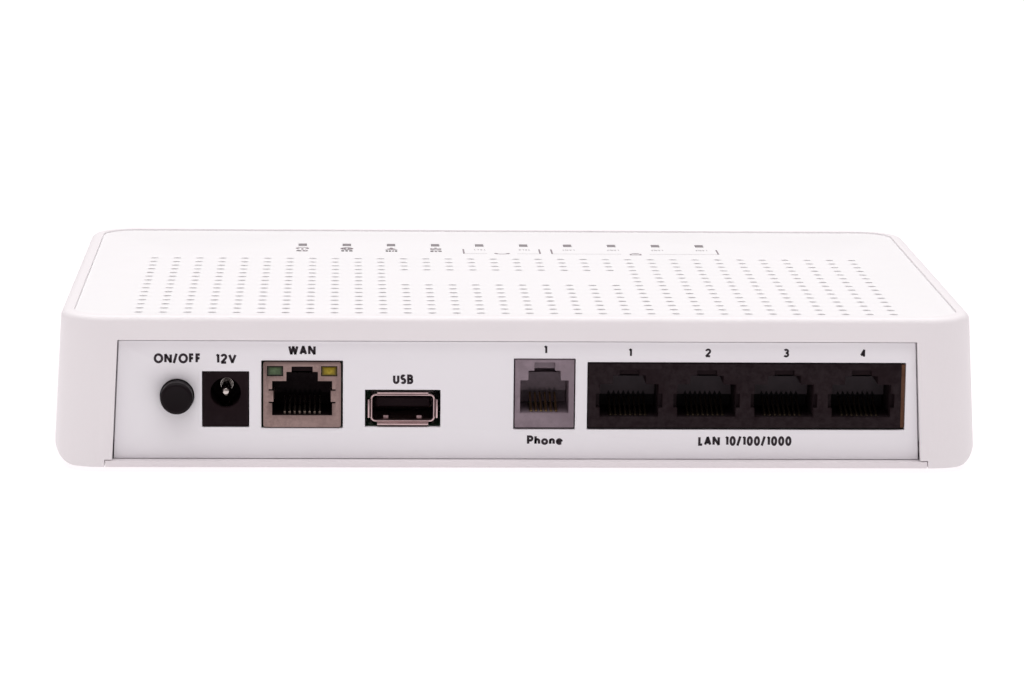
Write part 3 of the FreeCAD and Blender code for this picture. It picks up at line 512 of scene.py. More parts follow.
def usb_metal():
    return sheet_metal("usb_metal", (0.50, 0.37, 0.37), (0.38, 0.28, 0.28), 0.34,
                       streaks=(300.0, 300.0, 5000.0), patch=4.0, rub=0.9)


# Painted shade: the dark brown stands for the shaded white cut edge of the panel beside the LAN socket block.
def strip_brown():
    return sheet_metal("strip_brown", (0.125, 0.065, 0.042), (0.09, 0.045, 0.03), 0.5,
                       streaks=(300.0, 300.0, 3000.0), patch=3.0)


def comb_grey():
    """Dark grey on the comb's own face, and painted shade (near black) on the wall behind and below its
    teeth.
    """
    material, tree, shader = fresh("comb_grey", Specular_IOR_Level=0.2)
    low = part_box("lan_jack_combs")[0]
    axes = object_axes(tree)
    deep = ramp(tree, axes["Y"], low.y + 0.3 * MM, low.y + 0.5 * MM)
    under = ramp(tree, axes["Z"], low.z + 3.5 * MM, low.z + 3.7 * MM, 1.0, 0.0)
    skin = lay_skin(tree, (0.05, 0.038, 0.044), (0.065, 0.05, 0.058), grain=0.2, flow_size=4.0,
                    roughness=0.55, spread=0.15)
    # painted shade: near black laid on the recess behind and below the teeth
    painted_shade_behind = sums(tree, "MULTIPLY", deep, under)
    paint = blend_colours(tree, painted_shade_behind, skin["Colour"], (0.004, 0.002, 0.003, 1))
    coat(tree, shader, paint, skin["Roughness"], skin["Height"], 0.008)
    return material


def contact_metal(name, colour, dull, roughness):
    return sheet_metal(name, colour, dull, roughness, streaks=(3000.0, 300.0, 3000.0), patch=2.0, depth=0.003)


def contact_gold():
    return contact_metal("contact_gold", (0.78, 0.55, 0.25), (0.62, 0.42, 0.2), 0.28)


# Painted shade: a much darker copy of the contact gold, standing for the shade on these contacts inside the
# jack.
def contact_dull():
    return contact_metal("contact_dull", (0.10, 0.075, 0.05), (0.07, 0.05, 0.035), 0.5)


def contact_tinned():
    return contact_metal("contact_tinned", (0.3, 0.24, 0.2), (0.2, 0.16, 0.13), 0.4)


# Painted shade: a darker copy of the contact gold, standing for the shade on these contacts inside the jack.
def contact_dim():
    return contact_metal("contact_dim", (0.42, 0.29, 0.14), (0.3, 0.2, 0.1), 0.4)


def pin_nickel():
    """Bright on the pin and on its collar's rim, and painted shade (near black) on the rest of the collar's
    face.
    """
    material, tree, shader = fresh("pin_nickel", Metallic=1.0)
    low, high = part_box("power_jack_pin")
    axes = object_axes(tree)
    across = sums(tree, "SUBTRACT", axes["X"], (low.x + high.x) / 2)
    upward = sums(tree, "SUBTRACT", axes["Z"], (low.z + high.z) / 2)
    squares = sums(tree, "MULTIPLY_ADD", across, across, sums(tree, "MULTIPLY", upward, upward))
    away = sums(tree, "SQRT", squares)
    outer = (high.x - low.x) / 2
    beyond_pin = ramp(tree, away, outer - 0.28 * MM, outer - 0.25 * MM)
    inside_rim = ramp(tree, away, outer - 0.09 * MM, outer - 0.05 * MM, 1.0, 0.0)
    # painted shade: the collar's face inside its rim is coloured near black for the shade deep in the bore
    painted_collar_shade = sums(tree, "MULTIPLY", beyond_pin, inside_rim)
    sheet = lay(tree, "sheet", Colour=(0.6, 0.55, 0.52), Dull_Colour=(0.45, 0.41, 0.38),
                Streaks=(4000.0, 400.0, 4000.0), Patch_Size=2.0 * MM, Roughness=0.16, Gloss_Spread=0.25)
    paint = blend_colours(tree, painted_collar_shade, sheet["Colour"], (0.01, 0.007, 0.007, 1))
    gloss = sums(tree, "MULTIPLY_ADD", painted_collar_shade, 0.4, sheet["Roughness"])
    coat(tree, shader, paint, gloss, sheet["Height"], 0.002)
    return material


def spring_steel():
    return sheet_metal("spring_steel", (0.5, 0.5, 0.51), (0.38, 0.37, 0.37), 0.3, patch=2.0, depth=0.002)


def lens(name, node, edge, core):
    """A small coloured window: painted shade round its edge, and a painted highlight, brighter where the
    light sits behind it.
    """
    material, tree, shader = fresh(name, Specular_IOR_Level=0.25)
    low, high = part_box(node)
    axes = object_axes(tree)
    reach = []
    for axis in ("x", "z"):
        near, far = getattr(low, axis), getattr(high, axis)
        away = sums(tree, "ABSOLUTE", sums(tree, "SUBTRACT", axes[axis.upper()], (near + far) / 2))
        reach.append(sums(tree, "DIVIDE", away, (far - near) / 2))
    # painted shade: the window darkens towards its edge
    outer = ramp(tree, sums(tree, "MAXIMUM", *reach), 0.55, 0.92)
    from_highlight_middle = sums(tree, "ADD", reach[0], sums(tree, "MULTIPLY", reach[1], 0.6))
    # painted highlight: the window brightens towards its middle
    painted_highlight = ramp(tree, from_highlight_middle, 0.05, 0.75)
    highlight_colour = tuple(min(1.0, 1.9 * c + 0.015) for c in core)
    tone = blend_colours(tree, painted_highlight, (*highlight_colour, 1), (*core, 1))
    skin = lay_skin(tree, tone, core, grain=0.3, flow_size=1.5, roughness=0.22, spread=0.15)
    paint = blend_colours(tree, outer, skin["Colour"], (*edge, 1))
    coat(tree, shader, paint, skin["Roughness"], skin["Height"], 0.004)
    return material


def green_lens():
    return lens("green_lens", "wan_link_light", (0.016, 0.02, 0.01), (0.052, 0.085, 0.038))


def yellow_lens():
    return lens("yellow_lens", "wan_activity_light", (0.06, 0.042, 0.002), (0.21, 0.155, 0.002))


def button_black():
    return moulded("button_black", (0.005, 0.0025, 0.0035), (0.0065, 0.0035, 0.005), 0.42, grain=0.2,
                   depth=0.008, flow_size=5.0, rub=0.15, Specular_IOR_Level=0.11)


def switch_black():
    return moulded("switch_black", (0.015, 0.015, 0.016), (0.02, 0.02, 0.021), 0.45, grain=0.2,
                   depth=0.01, flow_size=4.0)


def switch_blue():
    return moulded("switch_blue", (0.02, 0.05, 0.16), (0.03, 0.065, 0.19), 0.45, grain=0.2, depth=0.01,
                   flow_size=4.0, rub=0.3)


FINISHES = [
    housing_white, vent_plate_white, panel_white, base_white, foot_rubber, screw_steel, clear_pipe,
    label_silver, board_green, chip_black, heat_sink_metal, tin_plate, capacitor_can, ferrite,
    small_part_ceramic, light_chip, jack_black, jack_grey, jack_shield, contact_gold, pin_nickel,
    green_lens, yellow_lens, button_black, switch_black, switch_blue, spring_steel,
]


def dress_cad_nodes():
    """Gives every CAD node its slot's finish, and returns the finishes by slot."""
    places = [place for node in frame["nodes"].values() for place in node.material_slots]
    for place in places:
        place.link = "DATA"
    wanted = [(place, place.material.name) for place in places]
    for packed in {place.material for place in places}:
        packed.name = "packed_" + packed.name
    finishes = {make.__name__: make() for make in FINISHES}
    for place, slot in wanted:
        place.material = finishes[slot]
    return finishes


# ---------------------------------------------------------------- mesh helpers
FLAT_ANGLE = math.radians(0.6)      # faces this near to one plane are joined
SHARP_EDGE = math.radians(35)


def mesh_of(name, shape):
    mesh = bpy.data.meshes.new(name)
    shape.to_mesh(mesh)
    shape.free()
    return mesh


def settle(thing):
    """The object with its modifiers worked into a plain mesh."""
    bpy.context.view_layer.update()
    graph = bpy.context.evaluated_depsgraph_get()
    baked = bpy.data.meshes.new_from_object(thing.evaluated_get(graph))
    baked.name = thing.name
    thing.modifiers.clear()
    thing.data = baked
    return thing


def finish_piece(thing, finish, slot, *stands_for):
    """Puts the finish on a piece, ties it to the body and hides the nodes it stands for. The slot is not
    used.
    """
    thing.data.materials.clear()
    thing.data.materials.append(finish)
    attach(thing, BODY)
    if stands_for:
        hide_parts(*stands_for)
    return thing


def eased_copy(node, finish, slot, ease):
    """A welded copy of a CAD node whose sharp edges are eased, standing for the node."""
    shape = bmesh.new()
    shape.from_mesh(frame["nodes"][node].data)
    bmesh.ops.remove_doubles(shape, verts=shape.verts, dist=0.002 * MM)
    bmesh.ops.dissolve_limit(shape, angle_limit=FLAT_ANGLE, verts=shape.verts, edges=shape.edges)
    mesh = mesh_of(node + "_eased", shape)
    for extra in ("custom_normal", "sharp_edge", "sharp_face"):
        if extra in mesh.attributes:
            mesh.attributes.remove(mesh.attributes[extra])
    thing = new_object(node + "_eased", mesh)
    bevel = thing.modifiers.new("ease", "BEVEL")
    bevel.width = ease * MM
    bevel.segments = 2
    bevel.limit_method = "ANGLE"
    bevel.angle_limit = SHARP_EDGE
    bevel.use_clamp_overlap = True
    settle(thing)
    thing.data.shade_smooth()
    thing.data.set_sharp_from_angle(angle=SHARP_EDGE)
    return finish_piece(thing, finish, slot, node)


# ---------------------------------------------------------------- repeated pieces
def make_set_out():
    """Sets a piece out in columns and rows, with an oblong field of blank ones, welded to the base."""
    tree = bpy.data.node_groups.new("set_out_in_rows", "GeometryNodeTree")
    wanted = {
        "Geometry": "Geometry", "Piece": "Object", "Blank Piece": "Object", "Columns": "Int", "Rows": "Int",
        "Column Pitch": "Float", "Row Pitch": "Float", "Middle": "Vector", "Blank Column": "Float",
        "Blank Columns Half": "Float", "Blank Row": "Float", "Blank Rows Half": "Float", "Weld": "Float",
        "Finish": "Material",
    }
    for label, kind in wanted.items():
        tree.interface.new_socket(label, in_out="INPUT", socket_type="NodeSocket" + kind)
    tree.interface.new_socket("Geometry", in_out="OUTPUT", socket_type="NodeSocketGeometry")
    given = tree.nodes.new("NodeGroupInput").outputs
    out = tree.nodes.new("NodeGroupOutput").inputs
    grid = add(tree, "GeometryNodeMeshGrid")
    for side, count, pitch in (("X", "Columns", "Column Pitch"), ("Y", "Rows", "Row Pitch")):
        feed(tree, grid.inputs["Vertices " + side], given[count])
        gaps = sums(tree, "SUBTRACT", given[count], 1.0)
        feed(tree, grid.inputs["Size " + side], sums(tree, "MULTIPLY", gaps, given[pitch]))
    placed = add(tree, "GeometryNodeTransform")
    feed(tree, placed.inputs["Geometry"], grid.outputs["Mesh"])
    feed(tree, placed.inputs["Translation"], given["Middle"])
    index = add(tree, "GeometryNodeInputIndex").outputs[0]
    column = sums(tree, "FLOOR", sums(tree, "DIVIDE", sums(tree, "ADD", index, 0.5), given["Rows"]))
    row = sums(tree, "SUBTRACT", index, sums(tree, "MULTIPLY", column, given["Rows"]))
    near = []
    for place, middle, half in ((column, "Blank Column", "Blank Columns Half"),
                                (row, "Blank Row", "Blank Rows Half")):
        away = sums(tree, "ABSOLUTE", sums(tree, "SUBTRACT", place, given[middle]))
        near.append(sums(tree, "LESS_THAN", away, given[half]))
    blank = sums(tree, "MULTIPLY", *near)
    full = sums(tree, "SUBTRACT", 1.0, blank)
    join = add(tree, "GeometryNodeJoinGeometry")
    tree.links.new(given["Geometry"], join.inputs[0])
    for label, chosen in (("Piece", full), ("Blank Piece", blank)):
        source = add(tree, "GeometryNodeObjectInfo")
        feed(tree, source.inputs["Object"], given[label])
        set_down = add(tree, "GeometryNodeInstanceOnPoints")
        feed(tree, set_down.inputs["Points"], placed.outputs["Geometry"])
        feed(tree, set_down.inputs["Selection"], chosen)
        feed(tree, set_down.inputs["Instance"], source.outputs["Geometry"])
        tree.links.new(set_down.outputs["Instances"], join.inputs[0])
    real = add(tree, "GeometryNodeRealizeInstances")
    feed(tree, real.inputs["Geometry"], join.outputs[0])
    weld = add(tree, "GeometryNodeMergeByDistance")
    feed(tree, weld.inputs["Geometry"], real.outputs["Geometry"])
    feed(tree, weld.inputs["Distance"], given["Weld"])
    coated = add(tree, "GeometryNodeSetMaterial")
    feed(tree, coated.inputs["Geometry"], weld.outputs["Geometry"])
    feed(tree, coated.inputs["Material"], given["Finish"])
    feed(tree, out["Geometry"], coated.outputs["Geometry"])
    return tree


SET_OUT = make_set_out()


def set_out(base, finish, piece, blank, counts, pitch, middle, blank_field, weld):
    """Runs the set-out tree on the base object and bakes the result into its mesh. Lengths are in metres."""
    modifier = base.modifiers.new("set_out", "NODES")
    modifier.node_group = SET_OUT
    values = {
        "Piece": piece, "Blank Piece": blank, "Columns": counts[0], "Rows": counts[1], "Column Pitch": pitch,
        "Row Pitch": pitch, "Middle": middle, "Blank Column": blank_field[0],
        "Blank Columns Half": blank_field[1], "Blank Row": blank_field[2], "Blank Rows Half": blank_field[3],
        "Weld": weld, "Finish": finish,
    }
    for item in SET_OUT.interface.items_tree:
        if item.in_out == "INPUT" and item.name in values:
            modifier[item.identifier] = values[item.name]
    base.update_tag()
    settle(base)
    for used in (piece, blank):
        bpy.data.objects.remove(used)


def loop_of(shape, points):
    """A closed ring of vertices joined by edges."""
    ring = [shape.verts.new(p) for p in points]
    edges = [shape.edges.new((a, b)) for a, b in zip(ring, ring[1:] + ring[:1])]
    return ring, edges


def skirt(shape, upper, lower):
    """A band of faces between two rings that have as many points as each other."""
    count = len(upper)
    for n in range(count):
        m = (n + 1) % count
        shape.faces.new((upper[n], lower[n], lower[m], upper[m]))


def oblong(x, half, low, high):
    """The four corners, anticlockwise, of an oblong whose middle is at x."""
    return [(x - half, low), (x + half, low), (x + half, high), (x - half, high)]


def circle(count):
    """Points anticlockwise round a circle of radius 1."""
    turns = [2 * math.pi * n / count for n in range(count)]
    return [(math.cos(turn), math.sin(turn)) for turn in turns]


def edge_steps(ease):
    """How far in and how far down each step of a rounded edge lies."""
    leans = [math.radians(turn) for turn in (30, 60, 90)]
    return [(ease * (1 - math.sin(lean)), ease * (1 - math.cos(lean))) for lean in leans]


def rounded_oblong(half_x, half_y, radius, middle, z):
    """Points anticlockwise round an oblong with round corners."""
    points = []
    for quarter, (sx, sy) in enumerate(((1, 1), (-1, 1), (-1, -1), (1, -1))):
        for n in range(CORNER_STEPS + 1):
            angle = math.pi / 2 * (quarter + n / CORNER_STEPS)
            points.append((
                middle[0] + sx * (half_x - radius) + radius * math.cos(angle),
                middle[1] + sy * (half_y - radius) + radius * math.sin(angle), z))
    return points


# vent plate, in millimetres
HOLE_R = 0.85
HOLE_PITCH = 5.0
HOLE_COLUMNS = 32
HOLE_ROWS = 15
HOLE_SIDES = 24
HOLE_EASE = 0.16
FIRST_ROW_Y = -51.9
BLANK_FIELD = (15.5, 5.0, 9.0, 1.5)     # middle column, half its columns, middle row, half its rows
PLATE_CORNER_R = 7.2
CORNER_STEPS = 10
PLATE_EASE = 0.3
PLATE_FIT = 0.13       # the shown plate fills the gap to the rim by this much
PLATE_WELD = 0.01
LIGHT_COUNT = 10
LIGHT_PITCH = 10.0
LIGHT_GAP = 0.1
LIGHT_HALF = 0.95


def light_spot(number):
    return LIGHT_PITCH * (number - (LIGHT_COUNT - 1) / 2)


def cell_rim():
    """Offsets of a cell's edge points from its middle, so that neighbouring cells share them."""
    points = []
    for x, y in circle(HOLE_SIDES):
        reach = HOLE_PITCH / 2 / max(abs(x), abs(y))
        points.append((reach * x, reach * y))
    return points


def vent_cell(thick, pierced):
    """One square of the vent plate, with its hole, or blank. Its top is at height 0."""
    shape = bmesh.new()

    def ring_at(points, reach, z):
        return [shape.verts.new((reach * x * MM, reach * y * MM, z * MM)) for x, y in points]

    if pierced:
        profile = [(HOLE_R + HOLE_EASE, 0.0)]
        profile += [(HOLE_R + inset, -drop) for inset, drop in edge_steps(HOLE_EASE)]
        profile.append((HOLE_R, -thick))
        rings = [ring_at(cell_rim(), 1, 0)]
        rings += [ring_at(circle(HOLE_SIDES), radius, z) for radius, z in profile]
        rings.append(ring_at(cell_rim(), 1, -thick))
        for outer, inner in zip(rings, rings[1:]):
            skirt(shape, inner, outer)
    else:
        shape.faces.new(ring_at(cell_rim(), 1, 0))
        shape.faces.new(ring_at(cell_rim(), 1, -thick)[::-1])
    for face in shape.faces:
        face.smooth = True
    return new_object("vent_cell" if pierced else "blank_cell", mesh_of("cell", shape))


def field_edge(low_x, high_x, low_y, high_y, z):
    """Points anticlockwise round the hole field that meet the outer cells' edge points."""
    offsets = sorted({round(x, 6) for x, y in cell_rim() if y > HOLE_PITCH / 2 - 1e-6})[:-1]
    along_x = [low_x + HOLE_PITCH * (n + 0.5) + d for n in range(HOLE_COLUMNS) for d in offsets]
    along_y = [low_y + HOLE_PITCH * (n + 0.5) + d for n in range(HOLE_ROWS) for d in offsets]
    points = [(x, low_y, z) for x in along_x] + [(high_x, y, z) for y in along_y]
    points += [(low_x + high_x - x, high_y, z) for x in along_x]
    points += [(low_x, low_y + high_y - y, z) for y in along_y]
    return points


def plate_frame(low, high):
    """The plain part of the vent plate round the hole field, with its light windows."""
    shape = bmesh.new()
    middle = ((low.x + high.x) / 2 / MM, (low.y + high.y) / 2 / MM)
    half = ((high.x - low.x) / 2 / MM + PLATE_FIT, (high.y - low.y) / 2 / MM + PLATE_FIT)
    top, bottom = high.z / MM, low.z / MM
    field_x = HOLE_PITCH * HOLE_COLUMNS / 2
    field_y = (FIRST_ROW_Y - HOLE_PITCH / 2, FIRST_ROW_Y + HOLE_PITCH * (HOLE_ROWS - 0.5))
    pipe_low, pipe_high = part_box("light_pipes")
    light_y = (pipe_low.y / MM - LIGHT_GAP, pipe_high.y / MM + LIGHT_GAP)

    def scaled(points):
        return [(x * MM, y * MM, z * MM) for x, y, z in points]

    def outline_at(inset, z):
        return scaled(rounded_oblong(half[0] - inset, half[1] - inset, PLATE_CORNER_R - inset, middle, z))

    def flat_face(z, inset):
        outline, edges = loop_of(shape, outline_at(inset, z))
        edges += loop_of(shape, scaled(field_edge(-field_x, field_x, *field_y, z)))[1]
        windows = []
        for n in range(LIGHT_COUNT):
            corners = oblong(light_spot(n), LIGHT_HALF, *light_y)
            ring, found = loop_of(shape, scaled([(x, y, z) for x, y in corners]))
            windows.append(ring)
            edges += found
        bmesh.ops.triangle_fill(shape, use_beauty=True, use_dissolve=False, edges=edges, normal=(0, 0, 1))
        return outline, windows

    top_outline, top_windows = flat_face(top, PLATE_EASE)
    low_outline, low_windows = flat_face(bottom, 0.0)
    upper = top_outline
    for inset, drop in edge_steps(PLATE_EASE):
        ring = [shape.verts.new(p) for p in outline_at(inset, top - drop)]
        skirt(shape, upper, ring)
        upper = ring
    skirt(shape, upper, low_outline)
    for high_ring, low_ring in zip(top_windows, low_windows):
        skirt(shape, low_ring, high_ring)
    bmesh.ops.recalc_face_normals(shape, faces=shape.faces)
    return new_object("vent_plate", mesh_of("vent_plate", shape))


def perforated_vent_plate(finish):
    low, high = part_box("top_vent_plate")
    thick = (high.z - low.z) / MM
    plate = plate_frame(low, high)
    middle_y = FIRST_ROW_Y + HOLE_PITCH * (HOLE_ROWS - 1) / 2
    set_out(plate, finish, vent_cell(thick, True), vent_cell(thick, False), (HOLE_COLUMNS, HOLE_ROWS),
            HOLE_PITCH * MM, (0, middle_y * MM, high.z), BLANK_FIELD, PLATE_WELD * MM)
    plate.data.shade_smooth()
    plate.data.set_sharp_from_angle(angle=math.radians(50))
    return finish_piece(plate, finish, "vent_plate_white", "top_vent_plate")


# ---------------------------------------------------------------- printed marks
INK = 0.025          # how far the ink film stands off the surface, in millimetres
SHARP_TURN = math.radians(100)
CORNER_FILL = 0.16   # how far parted lines run on past a corner, as a share of their width
OVAL_LETTERS = "O0o"


def arc(middle, radius, start, end, steps=14):
    turns = [math.radians(start + (end - start) * n / steps) for n in range(steps + 1)]
    return [(middle[0] + radius * math.cos(t), middle[1] + radius * math.sin(t)) for t in turns]


def oval(middle, half_x, half_y, steps=28):
    unit = arc((0, 0), 1, 0, 360 - 360 / steps, steps - 1)
    return [(middle[0] + half_x * x, middle[1] + half_y * y) for x, y in unit]


def letter_shapes():
    """Plain round lettering: each letter's width, and its strokes' points, a capital being 1 high."""
    arch = [(0, 0)] + arc((0.23, 0.38), 0.23, 180, 0, 10) + [(0.46, 0)]
    return {
        "O": (1.0, [oval((0.5, 0.5), 0.5, 0.5, 36)]),
        "N": (0.74, [[(0, 0), (0, 1), (0.74, 0), (0.74, 1)]]),
        "/": (0.3, [[(-0.05, -0.12), (0.35, 1.12)]]),
        "F": (0.44, [[(0, 0), (0, 1), (0.44, 1)], [(0, 0.52), (0.4, 0.52)]]),
        "1": (0.2, [[(0, 0.86), (0.2, 1), (0.2, 0)]]),
        "2": (0.54, [arc((0.27, 0.73), 0.27, 170, -42) + [(0, 0), (0.56, 0)]]),
        "3": (0.5, [arc((0.24, 0.76), 0.24, 150, -90) + arc((0.24, 0.26), 0.26, 90, -155)]),
        "4": (0.6, [[(0.44, 0), (0.44, 1), (0, 0.27), (0.6, 0.27)]]),
        "0": (0.56, [oval((0.28, 0.5), 0.28, 0.5)]),
        "V": (0.74, [[(0, 1), (0.37, 0), (0.74, 1)]]),
        "W": (1.12, [[(0, 1), (0.28, 0), (0.56, 0.96), (0.84, 0), (1.12, 1)]]),
        "A": (0.76, [[(0, 0), (0.38, 1), (0.76, 0)], [(0.13, 0.3), (0.63, 0.3)]]),
        "U": (0.6, [[(0, 1)] + arc((0.3, 0.3), 0.3, 180, 360) + [(0.6, 1)]]),
        "S": (0.5, [arc((0.25, 0.76), 0.24, 40, 270) + arc((0.25, 0.26), 0.26, 90, -148)[1:]]),
        "B": (0.56, [[(0, 0.52), (0, 1)] + arc((0.27, 0.76), 0.24, 90, -90) + [(0, 0.52)],
                     [(0, 0.52)] + arc((0.3, 0.26), 0.26, 90, -90) + [(0, 0), (0, 0.52)]]),
        "P": (0.54, [[(0, 0), (0, 1)] + arc((0.27, 0.73), 0.27, 90, -90) + [(0, 0.46)]]),
        "L": (0.36, [[(0, 1), (0, 0), (0.42, 0)]]),
        "T": (0.56, [[(0, 1), (0.56, 1)], [(0.28, 1), (0.28, 0)]]),
        "E": (0.42, [[(0.42, 1), (0, 1), (0, 0), (0.42, 0)], [(0, 0.52), (0.38, 0.52)]]),
        "h": (0.46, [[(0, 0), (0, 1.04)], arch]),
        "n": (0.46, [[(0, 0), (0, 0.62)], arch]),
        "o": (0.6, [oval((0.3, 0.3), 0.3, 0.3)]),
        "e": (0.6, [[(0, 0.31), (0.6, 0.31)], arc((0.3, 0.3), 0.3, 2, 318, 20)]),
        " ": (0.1, []),
    }


LETTERS = letter_shapes()


def words(shape, text, middle, cap_height, width, line):
    """Draws text into the shape, its letters stretched to fill the width. Lengths are in millimetres."""
    tall = cap_height - line
    space = line + 0.09 * cap_height
    bare = sum(LETTERS[letter][0] for letter in text) * tall
    stretch = (width - line - space * (len(text) - 1)) / bare
    x = middle[0] - (width - line) / 2
    low = middle[1] - tall / 2
    for letter in text:
        advance, strokes = LETTERS[letter]
        for points in strokes:
            placed = [(x + a * tall * stretch, low + b * tall) for a, b in points]
            stroke(shape, placed, line, letter in OVAL_LETTERS)
        x += advance * tall * stretch + space


def stroke(shape, points, width, closed=False):
    """Draws a line of even width; an open one is parted at sharp turns, to keep its width there."""
    spots = [Vector((x, y, 0)) for x, y in points]
    spots = [spot for n, spot in enumerate(spots) if n == 0 or (spot - spots[n - 1]).length > 1e-6]
    if closed:
        band(shape, spots, width, True)
        return
    part = [spots[0]]
    for n in range(1, len(spots)):
        part.append(spots[n])
        last = n == len(spots) - 1
        if last or (spots[n] - spots[n - 1]).angle(spots[n + 1] - spots[n]) > SHARP_TURN:
            band(shape, lengthened(part, width, part[0] is not spots[0], not last), width, False)
            part = [spots[n]]


def lengthened(points, width, at_start, at_end):
    """The points with the ends that meet another part of the line pushed out to fill the corner."""
    points = list(points)
    if at_start:
        points[0] = points[0] + (points[0] - points[1]).normalized() * width * CORNER_FILL
    if at_end:
        points[-1] = points[-1] + (points[-1] - points[-2]).normalized() * width * CORNER_FILL
    return points


def band(shape, spots, width, closed):
    """A flat closed solid along the points, in the marks' own plane."""
    count = len(spots)
    sides = []
    for n, spot in enumerate(spots):
        before = spots[n - 1] if n or closed else None
        after = spots[(n + 1) % count] if n < count - 1 or closed else None
        headings = [(spot - before).normalized()] if before is not None else []
        headings += [(after - spot).normalized()] if after is not None else []
        along = sum(headings, Vector()).normalized()
        across = Vector((-along.y, along.x, 0))
        reach = width / 2 / max(0.5, abs(across.dot(Vector((-headings[0].y, headings[0].x, 0)))))
        sides.append((spot + across * reach, spot - across * reach))
    film = Vector((0, 0, INK))
    rings = []
    for left, right in sides:
        corners = (left + film, right + film, right - film, left - film)
        rings.append([shape.verts.new(corner) for corner in corners])
    for a, b in zip(rings, rings[1:] + (rings[:1] if closed else [])):
        for k in range(4):
            shape.faces.new((a[k], a[(k + 1) % 4], b[(k + 1) % 4], b[k]))
    if not closed:
        shape.faces.new(rings[0][::-1])
        shape.faces.new(rings[-1])


def marks_piece(name, shape, place, finish, slot):
    """Puts drawn marks on their surface and makes them one piece."""
    bmesh.ops.recalc_face_normals(shape, faces=shape.faces)
    bmesh.ops.transform(shape, matrix=place @ Matrix.Scale(MM, 4), verts=shape.verts)
    thing = new_object(name, mesh_of(name, shape))
    return finish_piece(thing, finish, slot)


# words of the socket panel: text, middle across, middle height, cap height, width, line width
PANEL_WORDS = [
    ("ON/OFF", -69.35, 23.15, 2.08, 9.6, 0.5),
    ("12V", -59.5, 23.1, 2.08, 4.3, 0.5),
    ("WAN", -44.1, 24.9, 2.08, 5.6, 0.5),
    ("USB", -23.5, 18.95, 2.0, 4.15, 0.5),
    ("1", 5.45, 25.15, 1.8, 0.75, 0.42),
    ("Phone", 5.55, 6.35, 1.98, 7.35, 0.5),
    ("1", 22.75, 24.6, 1.8, 0.75, 0.42),
    ("2", 38.7, 24.6, 1.8, 1.2, 0.42),
    ("3", 54.7, 24.6, 1.8, 1.2, 0.42),
    ("4", 70.5, 24.6, 1.8, 1.2, 0.42),
    ("LAN 10/100/1000", 46.6, 6.25, 2.05, 19.2, 0.5),
]


def panel_legends(finish):
    face_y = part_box("socket_panel")[0].y
    shape = bmesh.new()
    for text, x, z, tall, width, line in PANEL_WORDS:
        words(shape, text, (x, z), tall, width, line)
    place = Matrix(((1, 0, 0, 0), (0, 0, -1, face_y), (0, 1, 0, 0), (0, 0, 0, 1)))
    return marks_piece("panel_legends", shape, place, finish, "button_black")


# marks of the top plate, laid out as its user reads them from the lights' side
SYMBOL_Y = 31.9
WORD_Y = 28.6
BRACKET_LINE_Y = 25.4
BRACKET_END_Y = 31.8
SMALL_TEXT_Y = 31.0
WORD_SIZE = (1.9, 2.6, 0.5)             # cap height, width, line width
SMALL_TEXT_SIZE = (1.4, 2.7, 0.22)
BRACKETS = [(-8.8, 8.3, 3.4), (11.0, 48.4, 3.2)]     # from, to, half of the gap for the symbol


def power_symbol(shape, x, y):
    stroke(shape, arc((x, y - 0.3), 1.25, 60, -240, 20), 0.5)
    stroke(shape, [(x, y - 0.1), (x, y + 1.6)], 0.5)


def globe_symbol(shape, x, y):
    stroke(shape, oval((x, y), 1.15, 1.5), 0.6, closed=True)
    stroke(shape, oval((x, y), 0.5, 1.4), 0.3, closed=True)
    stroke(shape, [(x - 1.1, y), (x + 1.1, y)], 0.4)


def radio_symbol(shape, x, y):
    for radius in (0.8, 1.6, 2.4):
        stroke(shape, arc((x, y - 1.3), radius, 122, 58, 10), 0.6)
    stroke(shape, oval((x, y - 1.25), 0.15, 0.15, 12), 0.3, closed=True)


def plug_symbol(shape, x, y):
    stroke(shape, oblong(x, 1.0, y - 0.5, y + 0.8), 0.5, closed=True)
    stroke(shape, [(x, y - 0.5), (x, y - 1.7)], 0.5)
    for side in (-0.5, 0.5):
        stroke(shape, [(x + side, y + 0.8), (x + side, y + 1.6)], 0.42)


def handset_symbol(shape, x, y):
    stroke(shape, arc((x, y - 2.2), 2.6, 125, 55, 12), 0.55)
    for side in (-1, 1):
        stroke(shape, [(x + side * 1.5, y - 0.1), (x + side * 1.25, y - 0.75)], 0.7)


def network_symbol(shape, x, y):
    stroke(shape, oblong(x, 1.1, y - 0.2, y + 1.2), 0.4, closed=True)
    stroke(shape, [(x, y - 0.2), (x, y - 0.8)], 0.4)
    stroke(shape, [(x - 0.8, y - 0.95), (x + 0.8, y - 0.95)], 0.4)


def top_place():
    """The marks' plane on the top plate, turned so that they read from the lights' side."""
    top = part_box("top_vent_plate")[1].z
    return Matrix(((-1, 0, 0, 0), (0, -1, 0, 0), (0, 0, 1, top), (0, 0, 0, 1)))


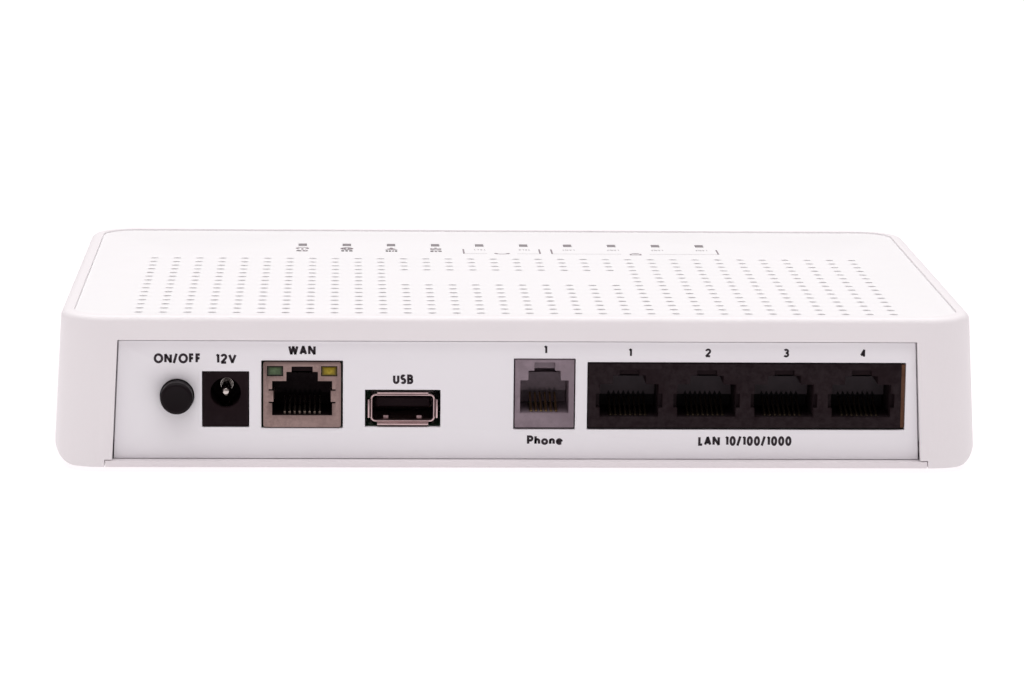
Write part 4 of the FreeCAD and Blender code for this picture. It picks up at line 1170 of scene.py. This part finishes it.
def top_symbols(finish):
    shape = bmesh.new()
    for number, draw in enumerate((power_symbol, globe_symbol, radio_symbol, plug_symbol)):
        draw(shape, -light_spot(number), -SYMBOL_Y)
    for number, text in enumerate(("ON", "WAN", "WLAN", "USB")):
        words(shape, text, (-light_spot(number), -WORD_Y), *WORD_SIZE)
    handset_symbol(shape, -(BRACKETS[0][0] + BRACKETS[0][1]) / 2, -BRACKET_LINE_Y)
    network_symbol(shape, -(BRACKETS[1][0] + BRACKETS[1][1]) / 2, -BRACKET_LINE_Y)
    for start, end, _ in BRACKETS:
        for x in (start, end):
            stroke(shape, [(-x, -BRACKET_LINE_Y), (-x, -BRACKET_END_Y)], 0.36)
    return marks_piece("top_symbols", shape, top_place(), finish, "button_black")


def top_small_text(finish):
    shape = bmesh.new()
    for n, text in enumerate(("TEL1", "TEL2", "LAN1", "LAN2", "LAN3", "LAN4")):
        words(shape, text, (-light_spot(4 + n), -SMALL_TEXT_Y), *SMALL_TEXT_SIZE)
    for start, end, gap in BRACKETS:
        middle = (start + end) / 2
        for a, b in ((start, middle - gap), (middle + gap, end)):
            stroke(shape, [(-a, -BRACKET_LINE_Y), (-b, -BRACKET_LINE_Y)], 0.2)
    return marks_piece("top_small_text", shape, top_place(), finish, "button_black")


# ---------------------------------------------------------------- putting it together
EASED = {
    "upper_housing": (0.25, "housing_white"), "base_plate": (0.2, "base_white"),
    "socket_panel": (0.12, "panel_white"), "wan_jack_shield": (0.12, "jack_shield"),
    "usb_shell": (0.06, "jack_shield"), "phone_jack_body": (0.15, "jack_grey"),
    "lan_jack_body": (0.15, "jack_black"), "power_jack_body": (0.15, "jack_black"),
    "usb_tongue": (0.1, "jack_black"), "wan_link_light": (0.1, "green_lens"),
    "wan_activity_light": (0.1, "yellow_lens"),
}
# painted shade: the darker golds on the LAN and phone contacts and the dark brown of the LAN strip
OWN_FINISH = {
    "lan_jack_contacts": contact_dull, "wan_jack_contacts": contact_tinned,
    "phone_jack_contacts": contact_dim, "lan_jack_combs": comb_grey, "lan_ground_strip": strip_brown,
    "usb_shell": usb_metal,
}


def main():
    place_camera()
    studio_light()
    studio_floor()
    bpy.context.scene.view_settings.view_transform = "Standard"
    finishes = dress_cad_nodes()
    perforated_vent_plate(finishes["vent_plate_white"])
    for node, finish in OWN_FINISH.items():
        frame["nodes"][node].material_slots[0].material = finish()
    for node, (ease, slot) in EASED.items():
        eased_copy(node, frame["nodes"][node].material_slots[0].material, slot, ease)
    panel_legends(legend_ink())
    top_symbols(light_mark_ink())
    top_small_text(faint_mark_ink())


main()
